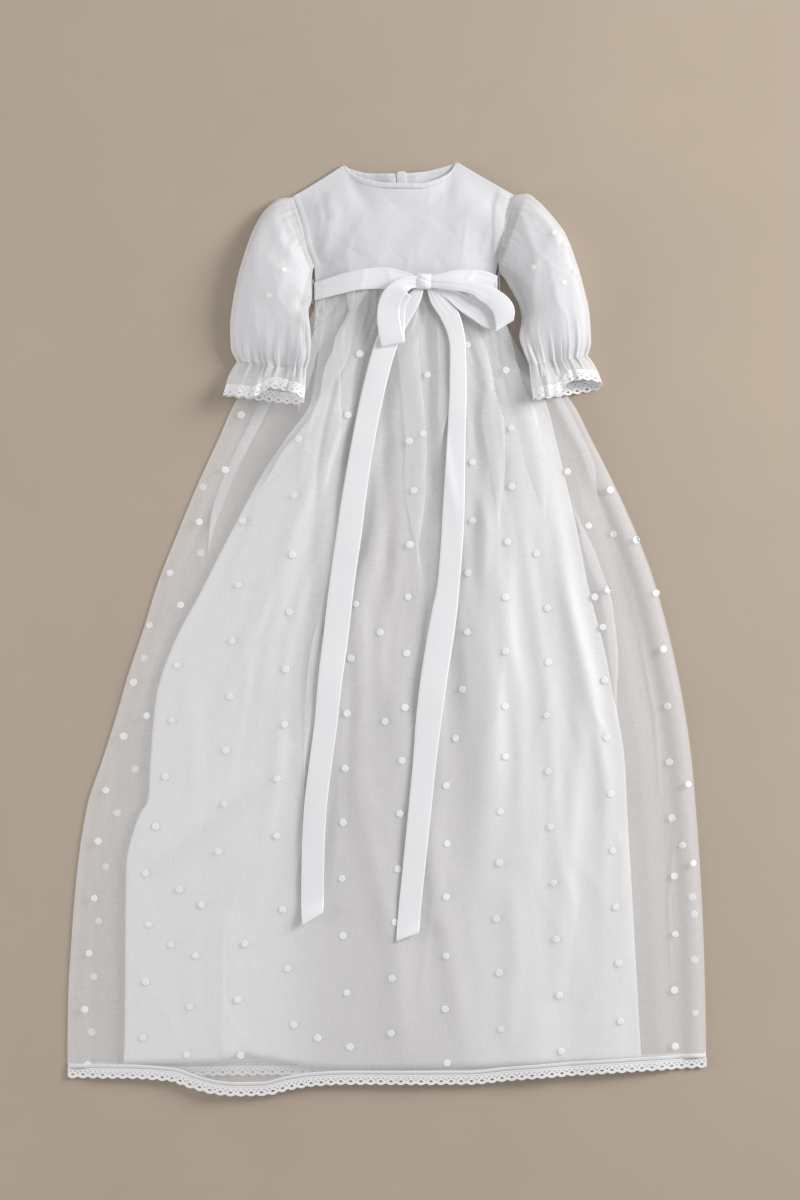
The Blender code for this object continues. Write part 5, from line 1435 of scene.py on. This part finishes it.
def bow_loop(side, rows, form):
    """A loop of the bow, which stands over the skirt and runs on under the knot."""
    count = 150
    x, y, over, wide, aim = rows_of(rows, ("x", "y", "over", "wide", "aim"), count)
    x = x + (KNOT_X - x) * 0.42 * np.exp(-np.arange(count) / 5.0)
    rest = highest(solid("skirt_front"), x, np.minimum(y, BELOW_SASH), np.linspace(-14, 14, 15))
    rest = np.maximum(rest, np.max(rest[over < 5.6]) - 1.5)
    rest = smoothed(rest, 5)
    ribbon(f"bow_loop_{side}", f"sash_loop_{side}", points(x, y, rest + over), wide, aim, 17, form)


def bow_tail(side, rows, form):
    """A tail that lies down the skirt, from under the knot."""
    count = 240
    x, y, wide, aim = rows_of(rows, ("x", "y", "wide", "aim"), count)
    y = y + 4.0 * np.exp(-np.arange(count) / 4.0)
    on_cad = height_on(solid(f"sash_tail_{side}"), x, y) - RIBBON / 2
    on_skirt = highest(front_tree, x, np.minimum(y, BELOW_SASH), (-11, -7, -3, 0, 3, 7, 11), aim)
    rest = smoothed(np.maximum(on_cad, on_skirt + 0.75), 4)
    ribbon(f"bow_tail_{side}", f"sash_tail_{side}", points(x, y, rest), wide, aim, 15, form)


def right_loop_form(share, t):
    """Crowned satin, pleated at the knot and pinched where it turns back."""
    pleats = 0.5 * wave(1.1 * t + 0.3) + 0.25 * wave(2.3 * t + 0.1)
    near = np.exp(-share / 0.12) + 0.7 * np.exp(-(1 - share) / 0.1)
    upper = 1 - ramp(share, 0.42, 0.52)
    crown = (0.35 - 1.25 * upper) * (1 - t**2) * ramp(share, 0.0, 0.1) * (1 - ramp(share, 0.9, 1.0))
    dimple = 0.9 * bell(share - 0.24 - 0.05 * t, 0.05) * (0.5 + 0.5 * t)
    return pleats * near * (1 - t**6) + crown + dimple * upper


def left_loop_form(share, t):
    pleats = 0.5 * wave(1.1 * t + 0.1) + 0.2 * wave(2.3 * t + share)
    near = np.exp(-share / 0.09) + 0.6 * np.exp(-(1 - share) / 0.1)
    upper = 1 - ramp(share, 0.55, 0.62)
    bend = 1.1 * bell(share - 0.14 + 0.04 * t, 0.045)
    hollow = -0.9 * bell(share - 0.30 + 0.03 * t, 0.07)
    swell = 0.9 * bell(share - 0.45 - 0.02 * t, 0.08) * (1 - 0.5 * t**2)
    return pleats * near * (1 - t**6) + (bend + hollow + swell) * upper


def left_tail_form(share, t):
    """Rays from the knot, and low waves down the tail."""
    rays = 0.7 * wave(0.9 * t + 0.2) * np.exp(-share / 0.05)
    soft = 0.5 * wave(2.3 * share + 0.12 * t) + 0.25 * wave(5.3 * share - 0.2 * t)
    return np.abs(rays) + 0.6 * (soft + 0.75) + 0.3 * (1 - t**2)


def right_tail_form(share, t):
    """Rays from the knot, a twist half way down and low waves."""
    rays = 0.8 * wave(0.8 * t + 0.5) * np.exp(-share / 0.06)
    twist = 1.7 * bell(share - 0.44 - 0.05 * t, 0.03) * (0.5 - 0.5 * t)
    soft = 0.5 * wave(2.9 * share - 0.15 * t + 0.3) + 0.2 * wave(6.1 * share + 0.2 * t)
    return np.abs(rays) + twist + 0.6 * (soft + 0.7) + 0.3 * (1 - t**2)


def belt_loops():
    for name, end, way in (("left", 0, -1), ("right", -1, 1)):
        x = WAIST["x"][end]
        angle = np.linspace(0, math.pi, 44)
        out = x + way * (1.6 + 1.5 * np.sin(angle) ** 0.5)
        line = points(out, float(waist_y(x)) - 12.0 * np.cos(angle), 4.2)
        cord(f"belt_loop_{name}", line, 0.5, (f"thread_loop_{name}",), 0.3)


sash()
knot()
bow_loop("right", LOOP_RIGHT, right_loop_form)
bow_loop("left", LOOP_LEFT, left_loop_form)
bow_tail("left", TAIL_LEFT, left_tail_form)
bow_tail("right", TAIL_RIGHT, right_tail_form)
belt_loops()

# ---------------- the surface, the light and the camera


def area_light(name, place, target, size, power, colour):
    light = bpy.data.lights.new(name, "AREA")
    light.shape = "SQUARE"
    light.size = size
    light.energy = power
    light.color = colour
    made = bpy.data.objects.new(name, light)
    made.location = place
    made.rotation_euler = (Vector(target) - Vector(place)).to_track_quat("-Z", "Y").to_euler()
    bpy.context.scene.collection.objects.link(made)


mesh = bpy.data.meshes.new("table_top")
mesh.from_pydata([(-4, -4, -0.0004), (4, -4, -0.0004), (4, 4, -0.0004), (-4, 4, -0.0004)], [], [(0, 1, 2, 3)])
mesh.materials.append(
    mottled("table_cover", (0.47, 0.395, 0.325), (0.53, 0.445, 0.365), 0.95, 6.0, detail=6.0, grain=0.6)
)
floor = bpy.data.objects.new("table_top", mesh)
bpy.context.scene.collection.objects.link(floor)

world = bpy.data.worlds.new("room")
world.use_nodes = True
world.node_tree.nodes["Background"].inputs["Color"].default_value = (1.0, 0.985, 0.965, 1)
world.node_tree.nodes["Background"].inputs["Strength"].default_value = 0.44
bpy.context.scene.world = world
area_light("window", (2.5, 1.1, 1.3), (0.0, 0.0, 0.0), 1.2, 80.0, (1.0, 0.985, 0.96))
area_light("wall", (-2.4, -0.2, 0.30), (0.0, 0.0, 0.0), 1.2, 34.0, (1.0, 0.985, 0.97))

camera = bpy.data.objects.new("camera", bpy.data.cameras.new("camera"))
camera.data.lens = 90.0
camera.data.sensor_width = 36.0
camera.data.clip_end = 20.0
camera.location = (0.0129, 0.0278, 3.0)
bpy.context.scene.collection.objects.link(camera)
bpy.context.scene.camera = camera
bpy.context.scene.view_settings.view_transform = "Standard"
